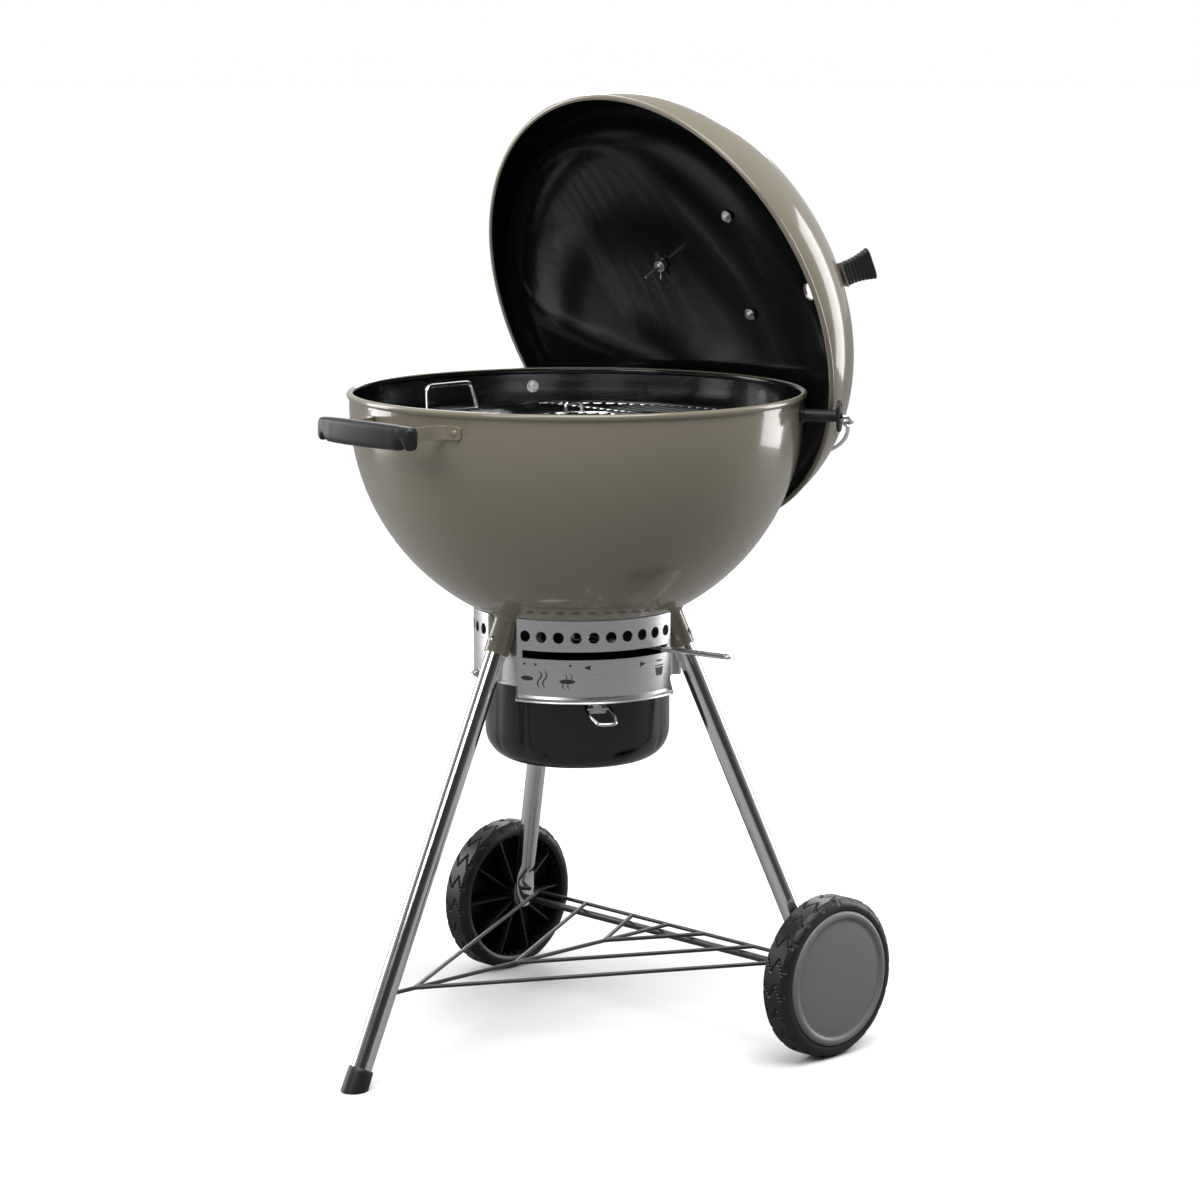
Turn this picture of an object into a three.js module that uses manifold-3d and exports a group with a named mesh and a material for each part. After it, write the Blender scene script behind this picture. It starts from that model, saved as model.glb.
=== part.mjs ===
// Kettle charcoal grill, standing open with its lid hung in the lid holder.
// Millimetres, +Z up, floor at z = 0. The bowl's axis is x = 0, y = 0 of the inner group, the wheels and
// the lid are towards +X, the capped leg and the bowl handle towards -X, and -Y is called the near side.
import * as THREE from 'three';
import { mergeVertices } from 'three/addons/utils/BufferGeometryUtils.js';
import Module from 'manifold-3d';

const wasm = await Module();
wasm.setup();

// ---------------------------------------------------------------- driving dimensions
const GAP = 0.4;                 // clearance between pieces that touch
const HOLE_GAP = 0.8;            // the same round a pin or screw, whose facets may not line up with its hole's
const FINE = 36;                 // facets round a large piece
const STEPS = 8;                 // facets from the pole to the rim
const ROUND = 12;                // facets round a small piece
const WIRE_SIDES = 6;            // facets round a wire
const GRATE_SIDES = 4;           // facets round a grate's rods

const SHEET = 2;                 // enamelled steel wall
const RIM_Z = 824;               // top of the bowl's rolled rim
const BOWL_R = 283;              // outer radius of the bowl
const BEAD_R = 4.4;              // radius of a rolled rim
const BOWL_CENTRE_Z = RIM_Z - 19;
const BOWL_BOTTOM_Z = BOWL_CENTRE_Z - BOWL_R;

const TUBE_R = 12.7;             // leg tube
const TUBE_WALL = 1.5;
const RING_R = 130.5;            // outer radius of the ash ring's three panels
const LEG_TOP_R = RING_R - 9.5;  // distance of a leg's axis from the bowl's axis at its top end
const LEG_TOP_Z = BOWL_CENTRE_Z - Math.sqrt(BOWL_R ** 2 - LEG_TOP_R ** 2) - 3.17;   // just under the bowl
const CAP_LEG_SLOPE = 0.4635;    // run over drop of the capped leg

const LEG_AZIMUTHS = { capped: 180, near: -60, far: 60 };
const SOCKET_R = 15.4;
const SOCKET_END_Z = LEG_TOP_Z - 39;
const CAP_R = 15.2;
const CAP_LENGTH = 17;
const CAPPED_END_Z = 10;         // middle of the capped leg's lower end

const WHEEL_R = 101.5;
const WHEEL_WIDTH = 42;
const WHEEL_Y = 294;             // middle of a wheel
const AXLE_X = 149;
const AXLE_R = 4.8;
const AXLE_END = WHEEL_WIDTH / 2 - 3.5;           // axle's end beyond the middle of a wheel
const HUBCAP_R = WHEEL_R - 16.5;
const BRACKET_Y = WHEEL_Y - WHEEL_WIDTH / 2 - 12;   // inner face of the axle bracket
const BRACKET_THICK = 5;
const WHEEL_LEG_FOOT = [AXLE_X - 6, BRACKET_Y - 10, WHEEL_R + 50.5];  // lower end of a wheel leg's round tube

const RACK_WIRE = 2.6;
const RACK_Z = WHEEL_R + AXLE_R + RACK_WIRE + GAP;
const RACK_TIP_X = 45.4 - LEG_TOP_R - (LEG_TOP_Z - RACK_Z) * CAP_LEG_SLOPE;   // short of the capped leg
const RACK_BACK_X = AXLE_X + 15;
const RACK_HALF = 248;
const RACK_CHEVRONS = [-112, 45];        // tips of the inner chevrons

const RING_RECESS_R = RING_R - 11;     // outer radius where a leg passes
const RING_WALL = 1.5;
const RING_TOP_Z = BOWL_BOTTOM_Z + 38;
const RING_BOTTOM_Z = BOWL_BOTTOM_Z - 56;
const PANEL_HALF = 48.5;         // half of a panel's angle
const PANEL_AZIMUTHS = { front: -120, rear: 0, far: 120 };
const VENT_Z = BOWL_BOTTOM_Z + 10.5;
const VENT_R = 7;
const VENT_COUNT = 10;
const VENT_PITCH = 9.6;          // degrees between air holes
const SLOT_Z = BOWL_BOTTOM_Z - 17;              // lower edge of the lever's slot
const SLOT_HEIGHT = 10;
const SLOT_HALF = 45;
const LIP_Z = RING_BOTTOM_Z - 15;

const POT_R = RING_R - 14.2;
const POT_TOP_Z = RING_BOTTOM_Z + 20;
const POT_BOTTOM_Z = POT_TOP_Z - 126;
const POT_FLAT_R = POT_R - 38.3;
const POT_HANDLE_AZ = -122;
const POT_HANDLE_LENGTH = 58;
const POT_HANDLE_WIDTH = 30;

const SHAFT_R = 6;
const BLADE_COUNT = 3;
const BLADE_REACH = 185;
const LEVER_REACH = RING_R + 99.5;
const LEVER_WIDTH = 14;
const LEVER_AZ = -80;
const LEVER_WIRE = 2.8;

const COAL_GRATE_R = BOWL_R - 70;
const COAL_ROD_PITCH = 36;
const COAL_GRATE_Z = RIM_Z - 184;
const GRATE_R = BOWL_R - 17;
const GRATE_Z = RIM_Z - 46;
const GRATE_WIRE = 2.6;
const ROD_PITCH = 32;
const INSERT_R = 142;
const FLAP_X = 160;              // hinge lines of the two flaps
const LEDGE_AZIMUTHS = [30, 150, -150, -30];

const LID_R = BOWL_R + 7;
const LID_DEPTH = 166;
const LID_CENTRE = [LID_R - 148.2, 0, RIM_Z + 87.8];
const LID_TILT = THREE.MathUtils.degToRad(19.3);
const LID_BEAD_R = 3.4;
const DAMPER_OFFSET = 148;       // damper's distance from the lid's axis
const DAMPER_R = 55;
const DAMPER_HOLES = 4;
const DAMPER_HOLE_R = 11;
const DAMPER_HOLE_CIRCLE = 36;
const DAMPER_ARM = 80;
const DAMPER_DISH = 400;
const THERMO_OFFSET = 130;
const THERMO_R = 31;
const LID_HANDLE_HALF = 68;      // handle bolt to the lid's axis
const LID_HANDLE_RISE = 55;

const GRIP_HALF = 84;            // bowl handle
const GRIP_OUT = BOWL_R + 73;
const GRIP_Z = [RIM_Z - 42.5, RIM_Z - 12];
const STRAP_Z = [RIM_Z - 35, RIM_Z - 17];
const STRAP_THICK = 2.5;
const STRAP_X = -(GRIP_OUT - 15);
const STRAP_PAD = [62, 86];

const HOLDER_AZ = 58.5;
const HOLDER_Z = RIM_Z - 24;
const HOLDER_TUBE_R = 7.6;
const HOLDER_END_R = BOWL_R + 46;        // inner face of the standoff's flange
const FLANGE_THICK = 4.5;
const HOOP_WIRE = 2.4;
const HOOP_R = LID_R + 50.5;
const HOOP_DROP = THREE.MathUtils.degToRad(30);

// ---------------------------------------------------------------- materials
const finish = (color, roughness, metalness) => new THREE.MeshStandardMaterial({ color, roughness, metalness });
const KHAKI = finish(0x8a8375, 0.28, 0.1);
const BLACK_ENAMEL = finish(0x101011, 0.15, 0.1);
const NYLON = finish(0x232426, 0.55, 0);
const GREY_PLASTIC = finish(0x7d7b7c, 0.5, 0);
const CHROME = finish(0xd8dadd, 0.08, 1);
const BRUSHED = finish(0xc0c1c5, 0.35, 1);
const STEEL = finish(0x9b9da0, 0.35, 1);
const BLACK_WIRE = finish(0x2b2c2d, 0.4, 0.4);

// ---------------------------------------------------------------- solid helpers
const rad = THREE.MathUtils.degToRad;
const polar = (r, degrees, z = 0) => new THREE.Vector3(r * Math.cos(rad(degrees)), r * Math.sin(rad(degrees)), z);
const vec = (x, y, z) => new THREE.Vector3(x, y, z);

function toSolid(geometry) {
  const bare = geometry.clone();
  bare.deleteAttribute('normal');
  bare.deleteAttribute('uv');
  const merged = mergeVertices(bare, 1e-4);
  return new wasm.Manifold(new wasm.Mesh({
    numProp: 3,
    vertProperties: new Float32Array(merged.attributes.position.array),
    triVerts: new Uint32Array(merged.index.array),
  }));
}

function toGeometry(solid) {
  const mesh = solid.getMesh();
  const geometry = new THREE.BufferGeometry();
  const points = new Float32Array(mesh.numVert * 3);
  for (let i = 0; i < mesh.numVert; i += 1) {
    points.set(mesh.vertProperties.subarray(i * mesh.numProp, i * mesh.numProp + 3), i * 3);
  }
  geometry.setAttribute('position', new THREE.BufferAttribute(points, 3));
  geometry.setIndex(new THREE.BufferAttribute(new Uint32Array(mesh.triVerts), 1));
  geometry.computeVertexNormals();
  return geometry;
}

const meet = (a, b) => toGeometry(toSolid(a).intersect(toSolid(b)));
const join = (...parts) => toGeometry(parts.map(toSolid).reduce((sum, next) => sum.add(next)));
const cut = (body, ...tools) => toGeometry(tools.map(toSolid).reduce((rest, tool) => rest.subtract(tool), toSolid(body)));

// Turned body: the profile's points are [radius, height], the axis is Z.
function turned(profile, segments = FINE) {
  const points = profile.map(([r, z]) => new THREE.Vector2(r, z));
  const geometry = new THREE.LatheGeometry(points, segments);
  geometry.rotateX(Math.PI / 2);
  const solid = toSolid(geometry);
  return solid.volume() < 0 || solid.isEmpty() ? toGeometry(toSolid(flipped(geometry))) : toGeometry(solid);
}

function flipped(geometry) {
  const copy = geometry.clone();
  const index = copy.index.array;
  for (let i = 0; i < index.length; i += 3) {
    [index[i + 1], index[i + 2]] = [index[i + 2], index[i + 1]];
  }
  return copy;
}

// Points of an arc in a profile's plane, angles in degrees.
function arc(cx, cy, r, from, to, steps, squash = 1) {
  const points = [];
  for (let i = 0; i <= steps; i += 1) {
    const a = rad(from + ((to - from) * i) / steps);
    points.push([cx + r * Math.cos(a), cy + r * squash * Math.sin(a)]);
  }
  return points;
}

// Straight bar of round section between two points.
function rod(a, b, radius, sides = ROUND) {
  const along = new THREE.Vector3().subVectors(b, a);
  const geometry = new THREE.CylinderGeometry(radius, radius, along.length(), sides);
  geometry.applyQuaternion(new THREE.Quaternion().setFromUnitVectors(vec(0, 1, 0), along.clone().normalize()));
  geometry.translate((a.x + b.x) / 2, (a.y + b.y) / 2, (a.z + b.z) / 2);
  return geometry;
}

// Bent wire through the points, its corners rounded.
function wire(points, radius, bend, steps, sides = WIRE_SIDES) {
  const path = new THREE.CurvePath();
  let last = points[0];
  for (let i = 1; i < points.length - 1; i += 1) {
    const before = points[i].clone().sub(points[i - 1]);
    const after = points[i + 1].clone().sub(points[i]);
    const reach = Math.min(bend, before.length() * 0.45, after.length() * 0.45);
    const enter = points[i].clone().addScaledVector(before.normalize(), -reach);
    const leave = points[i].clone().addScaledVector(after.normalize(), reach);
    path.add(new THREE.LineCurve3(last, enter));
    path.add(new THREE.QuadraticBezierCurve3(enter, points[i], leave));
    last = leave;
  }
  path.add(new THREE.LineCurve3(last, points[points.length - 1]));
  return along(path, radius, steps, sides);
}

function along(path, radius, steps, sides = WIRE_SIDES) {
  const section = new THREE.Shape();
  for (let i = 0; i < sides; i += 1) {
    const a = (2 * Math.PI * (i + 0.5)) / sides;
    section[i ? 'lineTo' : 'moveTo'](radius * Math.cos(a), radius * Math.sin(a));
  }
  section.closePath();
  return new THREE.ExtrudeGeometry(section, { steps, extrudePath: path, bevelEnabled: false });
}

// Flat plate: outline in x, y, extruded from z0 to z1, with optional holes.
function plate(outline, z0, z1, holes = []) {
  const shape = new THREE.Shape(outline.map(([x, y]) => new THREE.Vector2(x, y)));
  holes.forEach((hole) => shape.holes.push(new THREE.Path(hole.map(([x, y]) => new THREE.Vector2(x, y)))));
  const geometry = new THREE.ExtrudeGeometry(shape, { depth: z1 - z0, bevelEnabled: false, steps: 1 });
  geometry.translate(0, 0, z0);
  return geometry;
}

const place = (geometry, matrix) => geometry.clone().applyMatrix4(matrix);
const frameAt = (x, y, z, origin) => new THREE.Matrix4().makeBasis(x, y, z).setPosition(origin);

const grill = new THREE.Group();
const standing = new THREE.Group();      // everything, about the bowl's axis
grill.add(standing);

function add(name, geometry, material, parent = standing) {
  const mesh = new THREE.Mesh(geometry, material);
  mesh.name = name;
  parent.add(mesh);
  return mesh;
}

// ---------------------------------------------------------------- bowl
const beadTop = RIM_Z - BEAD_R;
const fromPole = (radius) => arc(0, BOWL_CENTRE_Z, radius, -90, 0, STEPS).map(([r, z], i) => [i ? r : 0, z]);
const bowlBead = arc(BOWL_R - SHEET / 2, beadTop, BEAD_R, -76, 256, 6);
const bowlShell = turned([...fromPole(BOWL_R), ...bowlBead, ...fromPole(BOWL_R - SHEET).reverse()]);
const filledTo = (radius) => turned([...fromPole(radius), [radius, RIM_Z], [0, RIM_Z]]);
const bowlClearance = filledTo(BOWL_R + GAP);
const bowlInterior = filledTo(BOWL_R - SHEET - GAP);

const ashVent = plate([...arc(92, 0, 13, -90, 90, 6), ...arc(52, 0, 9, 90, 270, 6)], BOWL_BOTTOM_Z - 22, BOWL_BOTTOM_Z + 78);
const ashVents = [0, 1, 2].map((i) => ashVent.clone().rotateZ(rad(LEVER_AZ + 120 * i)));
const boltHole = (side, radius) => rod(polar(BOWL_R - 20, side * HOLDER_AZ, HOLDER_Z),
  polar(BOWL_R + 20, side * HOLDER_AZ, HOLDER_Z), radius, 8);
add('bowl', cut(bowlShell, ...ashVents, rod(vec(0, 0, BOWL_BOTTOM_Z - 22), vec(0, 0, BOWL_BOTTOM_Z + 38), SHAFT_R + GAP),
  boltHole(1, 3 + HOLE_GAP), boltHole(-1, 3 + HOLE_GAP)), KHAKI);

// ---------------------------------------------------------------- bowl handle
const padAngle = (y) => 180 - THREE.MathUtils.radToDeg(Math.asin(y / BOWL_R));
function strapOutline() {
  const inner = BOWL_R + GAP;
  const outer = inner + STRAP_THICK;
  const [near, far] = STRAP_PAD;
  const side = (sign) => {
    const turn = (r, y) => [-Math.sqrt(r * r - y * y), sign * y];
    return [turn(inner, near), turn(inner, (near + far) / 2), turn(inner, far), turn(outer, far),
      turn(outer, (near + far) / 2), turn(outer, near + STRAP_THICK), [STRAP_X - STRAP_THICK, sign * (near - 4 + STRAP_THICK)]];
  };
  const innerCorner = [STRAP_X, near - 4];
  return [...side(1), ...side(-1).reverse(), [innerCorner[0], -innerCorner[1]], innerCorner];
}
function strap() {
  const [near] = STRAP_PAD;
  const upper = strapOutline();
  const half = upper.length / 2 - 1;
  const outline = [...upper.slice(0, 2 * half)];
  // order: far pad on +Y, outside corner, outside corner on -Y, pad on -Y, then back along the inside
  const inside = [[-Math.sqrt((BOWL_R + GAP) ** 2 - near * near), -near], [STRAP_X, -(near - 4)], [STRAP_X, near - 4]];
  return plate([...outline.slice(0, outline.length), ...inside.slice(1)], STRAP_Z[0], STRAP_Z[1]);
}
add('bowl_handle_strap', strap(), KHAKI);

const gripFace = arc(-GRIP_OUT + 190, 0, 190, 180 - 26, 180 + 26, 8).map(([x, y]) => [x, -y]);
const gripOutline = [...gripFace, [STRAP_X + 9, GRIP_HALF], [STRAP_X + 9, -GRIP_HALF]];
const gripSlot = plate([[STRAP_X + GAP, 62], [STRAP_X + GAP, -62], [STRAP_X - STRAP_THICK - GAP, -62],
  [STRAP_X - STRAP_THICK - GAP, 62]], STRAP_Z[0] - GAP, STRAP_Z[1] + GAP);
const armSlot = (sign) => plate([[STRAP_X + 12, sign * 56], [STRAP_X + 12, sign * 66],
  [STRAP_X - STRAP_THICK - GAP, sign * 66], [STRAP_X - STRAP_THICK - GAP, sign * 56]], STRAP_Z[0] - GAP, STRAP_Z[1] + GAP);
add('bowl_handle_grip', cut(plate(gripOutline, GRIP_Z[0], GRIP_Z[1]), gripSlot, armSlot(1), armSlot(-1)), NYLON);

// ---------------------------------------------------------------- legs, sockets and cap
const legLine = {
  capped: [polar(LEG_TOP_R, 180, LEG_TOP_Z), vec(-(LEG_TOP_R + LEG_TOP_Z * CAP_LEG_SLOPE), 0, 0)],
  near: [polar(LEG_TOP_R, LEG_AZIMUTHS.near, LEG_TOP_Z), vec(WHEEL_LEG_FOOT[0], -WHEEL_LEG_FOOT[1], WHEEL_LEG_FOOT[2])],
  far: [polar(LEG_TOP_R, LEG_AZIMUTHS.far, LEG_TOP_Z), vec(...WHEEL_LEG_FOOT)],
};
const onLeg = (leg, z) => {
  const [top, foot] = legLine[leg];
  return top.clone().lerp(foot, (top.z - z) / (top.z - foot.z));
};

function socket(leg) {
  const [top, foot] = legLine[leg];
  const up = top.clone().sub(foot).normalize();
  const end = onLeg(leg, SOCKET_END_Z);
  const body = rod(end, top.clone().addScaledVector(up, 30), SOCKET_R);
  const bore = rod(top.clone().addScaledVector(up, 4), end.clone().addScaledVector(up, -10), TUBE_R + GAP);
  return cut(body, bore, bowlClearance, screwRod(leg, 1.9 + GAP));
}

// Screw through the outer side of a socket, square to the leg.
function screwLine(leg) {
  const [top, foot] = legLine[leg];
  const down = foot.clone().sub(top).normalize();
  const outward = top.clone().setZ(0).normalize();
  outward.addScaledVector(down, -outward.dot(down)).normalize();
  return [onLeg(leg, SOCKET_END_Z + 13), outward];
}
function screwRod(leg, radius, from = 6, to = SOCKET_R + 8) {
  const [at, outward] = screwLine(leg);
  return rod(at.clone().addScaledVector(outward, from), at.clone().addScaledVector(outward, to), radius, 8);
}
function socketScrew(leg) {
  return join(screwRod(leg, 1.9, TUBE_R - TUBE_WALL - 3, SOCKET_R + 2.4), screwRod(leg, 4, SOCKET_R + GAP, SOCKET_R + 3));
}

function cappedLeg() {
  const [top] = legLine.capped;
  const end = onLeg('capped', CAPPED_END_Z);
  const tube = cut(rod(top, end, TUBE_R), rod(onLeg('capped', LEG_TOP_Z + 20), onLeg('capped', -20), TUBE_R - TUBE_WALL),
    screwRod('capped', 1.9 + GAP));
  return cut(tube, rod(vec(RACK_TIP_X, 0, RACK_Z), vec(RACK_TIP_X - 47, 0, RACK_Z), RACK_WIRE + HOLE_GAP, 8));
}

function wheelLeg(leg, sign) {
  const [top, foot] = legLine[leg];
  const down = foot.clone().sub(top).normalize();
  const outer = rod(top, foot, TUBE_R);
  const bore = rod(top.clone().addScaledVector(down, -20), foot.clone().addScaledVector(down, -12), TUBE_R - TUBE_WALL);
  // Lower end: the tube is pressed flat and turned straight down to the axle.
  const flat = new THREE.CylinderGeometry(TUBE_R, TUBE_R, 1, ROUND, 6);
  const place3 = flat.attributes.position;
  const flatHalf = 2.6;
  const lugY = BRACKET_Y - flatHalf - GAP;
  const lugZ = WHEEL_R - 13;
  const path = new THREE.QuadraticBezierCurve3(foot.clone().addScaledVector(down, -8),
    foot.clone().addScaledVector(down, 18), vec(AXLE_X, sign * lugY, lugZ));
  for (let i = 0; i < place3.count; i += 1) {
    const t = 0.5 - place3.getY(i);
    const centre = path.getPoint(t);
    const pinch = 1 - Math.min(1, Math.max(0, (t - 0.1) / 0.45)) ** 1.5 * (1 - flatHalf / TUBE_R);
    place3.setXYZ(i, centre.x + place3.getX(i) * (t > 0.1 ? 0.96 : 1), centre.y + place3.getZ(i) * pinch, centre.z);
  }
  const shaped = toSolid(flat).volume() < 0 ? flipped(flat) : flat;
  return cut(join(cut(outer, bore), shaped), rod(vec(AXLE_X, -400, WHEEL_R), vec(AXLE_X, 400, WHEEL_R), AXLE_R + HOLE_GAP, 8),
    screwRod(leg, 1.9 + GAP));
}

['capped', 'near', 'far'].forEach((leg) => {
  add(`leg_socket_${leg}`, socket(leg), KHAKI);
  add(`socket_screw_${leg}`, socketScrew(leg), STEEL);
});
add('leg_capped', cappedLeg(), CHROME);
add('leg_near', wheelLeg('near', -1), CHROME);
add('leg_far', wheelLeg('far', 1), CHROME);

function footCap() {
  const down = legLine.capped[1].clone().sub(legLine.capped[0]).normalize();
  const end = onLeg('capped', CAPPED_END_Z);
  const body = rod(end.clone().addScaledVector(down, -CAP_LENGTH), end.clone().addScaledVector(down, CAPPED_END_Z + 14), CAP_R + 0.8);
  const bore = rod(end.clone().addScaledVector(down, -CAP_LENGTH - 10), end.clone().addScaledVector(down, GAP), TUBE_R + GAP);
  const floor = plate([[-500, -100], [-200, -100], [-200, 100], [-500, 100]], -60, 0);
  return cut(body, bore, floor);
}
add('foot_cap', footCap(), NYLON);

// ---------------------------------------------------------------- axle, brackets and wheels
add('axle', rod(vec(AXLE_X, -WHEEL_Y - AXLE_END, WHEEL_R), vec(AXLE_X, WHEEL_Y + AXLE_END, WHEEL_R), AXLE_R), BLACK_WIRE);

function axleBracket(sign) {
  const outline = [...arc(0, 0, 14, 180, 360, 6), [15, 12], [9, 25], [-9, 25], [-15, 12]];
  const geometry = plate(outline, 0, BRACKET_THICK, [arc(0, 0, AXLE_R + GAP, 0, 330, 11)]);
  geometry.rotateX(Math.PI / 2);
  geometry.translate(AXLE_X, sign > 0 ? BRACKET_Y + BRACKET_THICK : -BRACKET_Y, WHEEL_R);
  return geometry;
}
add('axle_bracket_near', axleBracket(-1), GREY_PLASTIC);
add('axle_bracket_far', axleBracket(1), GREY_PLASTIC);

const half = WHEEL_WIDTH / 2;
const hubBore = AXLE_R + GAP;
const WHEEL_PROFILE = [
  [hubBore, -half - 5], [12, -half - 5], [12, half - 9], [HUBCAP_R - 3, half - 9], [HUBCAP_R - 1, -half + 2],
  [90, -half], [95, -half + 1], [99.5, -half + 6], [WHEEL_R, -half + 14], [WHEEL_R, half - 14], [99.5, half - 6],
  [95, half - 1], [90, half], [HUBCAP_R + GAP, half], [HUBCAP_R + GAP, half - 6], [hubBore, half - 6], [hubBore, -half - 5],
];
const HUBCAP_PROFILE = [
  [0, half - 3], [HUBCAP_R - 4, half - 3], [HUBCAP_R - 1, half - 5.5], [HUBCAP_R, half - 5], [HUBCAP_R - 1, half + 1.5],
  [HUBCAP_R - 7, half + 3], [HUBCAP_R - 12, half + 1], [0, half + 0.5],
];
function onAxle(profile, sign, segments) {
  const geometry = turned(profile, segments);
  geometry.rotateX(sign > 0 ? -Math.PI / 2 : Math.PI / 2);
  geometry.translate(AXLE_X, sign * WHEEL_Y, WHEEL_R);
  return geometry;
}
[['near', -1], ['far', 1]].forEach(([side, sign]) => {
  add(`wheel_${side}`, onAxle(WHEEL_PROFILE, sign, 24), NYLON);
  add(`hubcap_${side}`, onAxle(HUBCAP_PROFILE, sign, 24), GREY_PLASTIC);
  const ends = half - 6 + GAP;
  add(`axle_nut_${side}`, onAxle([[AXLE_R + GAP, ends], [8, ends], [8, ends + 2.1], [AXLE_R + GAP, ends + 2.1],
    [AXLE_R + GAP, ends]], sign, 12), STEEL);
});

// ---------------------------------------------------------------- wire rack between the legs
function rack() {
  const bar = (ax, ay, bx, by) => rod(vec(ax, ay, RACK_Z), vec(bx, by, RACK_Z), RACK_WIRE, WIRE_SIDES);
  const slope = RACK_HALF / (RACK_BACK_X - RACK_TIP_X);
  const parts = [bar(RACK_BACK_X, -RACK_HALF, RACK_BACK_X, RACK_HALF), bar(RACK_TIP_X - 44, 0, RACK_BACK_X, 0)];
  [RACK_TIP_X, ...RACK_CHEVRONS].forEach((tip) => {
    const reach = slope * (RACK_BACK_X - tip);
    parts.push(bar(tip, 0, RACK_BACK_X + 1, reach - 0.6), bar(tip, 0, RACK_BACK_X + 1, -reach + 0.6));
  });
  return join(...parts);
}
add('wire_rack', rack(), BLACK_WIRE);

// ---------------------------------------------------------------- ash ring
function ringOutline(inset) {
  const points = [];
  Object.values(PANEL_AZIMUTHS).forEach((centre) => {
    for (let i = 0; i <= 10; i += 1) {
      const p = polar(RING_R - inset, centre - PANEL_HALF + (2 * PANEL_HALF * i) / 10);
      points.push([p.x, p.y]);
    }
    [PANEL_HALF + 2.5, 60, 120 - PANEL_HALF - 2.5].forEach((turn) => {
      const p = polar(RING_RECESS_R - inset, centre + turn);
      points.push([p.x, p.y]);
    });
  });
  return points;
}
function sector(r0, r1, from, to, z0, z1, steps = 10) {
  return plate([...arc(0, 0, r1, from, to, steps), ...arc(0, 0, r0, to, from, steps)], z0, z1);
}
function ashRing() {
  const shell = plate(ringOutline(0), RING_BOTTOM_Z, RING_TOP_Z, [ringOutline(RING_WALL)]);
  const holes = [];
  Object.values(PANEL_AZIMUTHS).forEach((centre) => {
    for (let i = 0; i < VENT_COUNT; i += 1) {
      const turn = centre + (i - (VENT_COUNT - 1) / 2) * VENT_PITCH;
      holes.push(rod(polar(RING_RECESS_R - 6, turn, VENT_Z), polar(RING_R + 8, turn, VENT_Z), VENT_R, 6));
    }
  });
  const front = PANEL_AZIMUTHS.front;
  const lip = [sector(RING_R - RING_WALL, RING_R, front - PANEL_HALF, front + PANEL_HALF, LIP_Z, RING_BOTTOM_Z + 1),
    sector(RING_R - RING_WALL, RING_R + 5, front - PANEL_HALF, front + PANEL_HALF, LIP_Z, LIP_Z + 2)];
  const slot = sector(RING_R - 8, RING_R + 8, front - SLOT_HALF, front + SLOT_HALF, SLOT_Z, SLOT_Z + SLOT_HEIGHT, 6);
  const screwHoles = RING_SCREWS.map((turn) => rod(polar(RING_R - 8, turn, RING_SCREW_Z), polar(RING_R + 8, turn, RING_SCREW_Z),
    2.4 + GAP, 8));
  const legRoom = Object.values(legLine).map(([top, foot]) => rod(top.clone().lerp(foot, -0.2), foot, SOCKET_R + GAP + 0.6));
  return cut(join(shell, ...lip), bowlClearance, slot, ...holes, ...screwHoles, ...legRoom);
}
const RING_SCREWS = [PANEL_AZIMUTHS.far + 33, PANEL_AZIMUTHS.rear - 33];
const RING_SCREW_Z = RING_BOTTOM_Z + 7;
add('ash_ring', ashRing(), BRUSHED);
RING_SCREWS.forEach((turn, i) => {
  const out = polar(1, turn);
  const side = vec(-out.y, out.x, 0);
  const at = polar(RING_R, turn, RING_SCREW_Z);
  const reach = (distance, lift = 0, across = 0) => at.clone().addScaledVector(out, distance).addScaledVector(side, across)
    .setZ(at.z + lift);
  const knob = rod(reach(GAP), reach(5), 5, 8);
  const wings = rod(reach(5, 0, -9), reach(5, 0, 9), 2.2, 6);
  add(`ring_wing_screw_${['far', 'near'][i]}`, join(rod(reach(-RING_WALL - 4), reach(3), 2.4, 8), knob, wings), STEEL);
});

// ---------------------------------------------------------------- ash pot
const potCorner = POT_R - POT_FLAT_R;
const potOutside = [[0, POT_BOTTOM_Z], ...arc(POT_FLAT_R, POT_BOTTOM_Z + potCorner, potCorner, -90, 0, 4), [POT_R, POT_TOP_Z]];
const potInside = [[POT_R - 1.6, POT_TOP_Z], ...arc(POT_FLAT_R, POT_BOTTOM_Z + potCorner, potCorner - 1.6, 0, -90, 4),
  [0, POT_BOTTOM_Z + 1.6]];
add('ash_pot', turned([...potOutside, ...potInside], 32), BLACK_ENAMEL);

const potOut = polar(1, POT_HANDLE_AZ);
const potSide = vec(-potOut.y, potOut.x, 0);
const POT_PIVOT_Z = LIP_Z - 8;
const potPoint = (out, side, lift) => vec(0, 0, POT_PIVOT_Z + lift).addScaledVector(potOut, out).addScaledVector(potSide, side);
const potPivot = POT_R + 5;
function potClip() {
  const plateBody = place(plate([[-11, -7], [11, -7], [11, 7], [-11, 7]], GAP, 8), frameAt(potSide, vec(0, 0, 1),
    potOut.clone(), potPoint(POT_R, 0, 0)));
  const wireHole = rod(potPoint(potPivot, -40, 0), potPoint(potPivot, 40, 0), 2.2 + HOLE_GAP, 8);
  return cut(plateBody, wireHole);
}
add('pot_handle_clip', potClip(), STEEL);
const halfWide = POT_HANDLE_WIDTH / 2;
const loopDrop = -9;
function potHandle() {
  return wire([potPoint(potPivot, -9.5, 0), potPoint(potPivot, -halfWide, 0),
    potPoint(potPivot + POT_HANDLE_LENGTH - 12, -halfWide, loopDrop * 0.8), potPoint(potPivot + POT_HANDLE_LENGTH, -halfWide + 9, loopDrop),
    potPoint(potPivot + POT_HANDLE_LENGTH, halfWide - 9, loopDrop), potPoint(potPivot + POT_HANDLE_LENGTH - 12, halfWide, loopDrop * 0.8),
    potPoint(potPivot, halfWide, 0), potPoint(potPivot, 9.5, 0)], 2.2, 5, 32);
}
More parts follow.
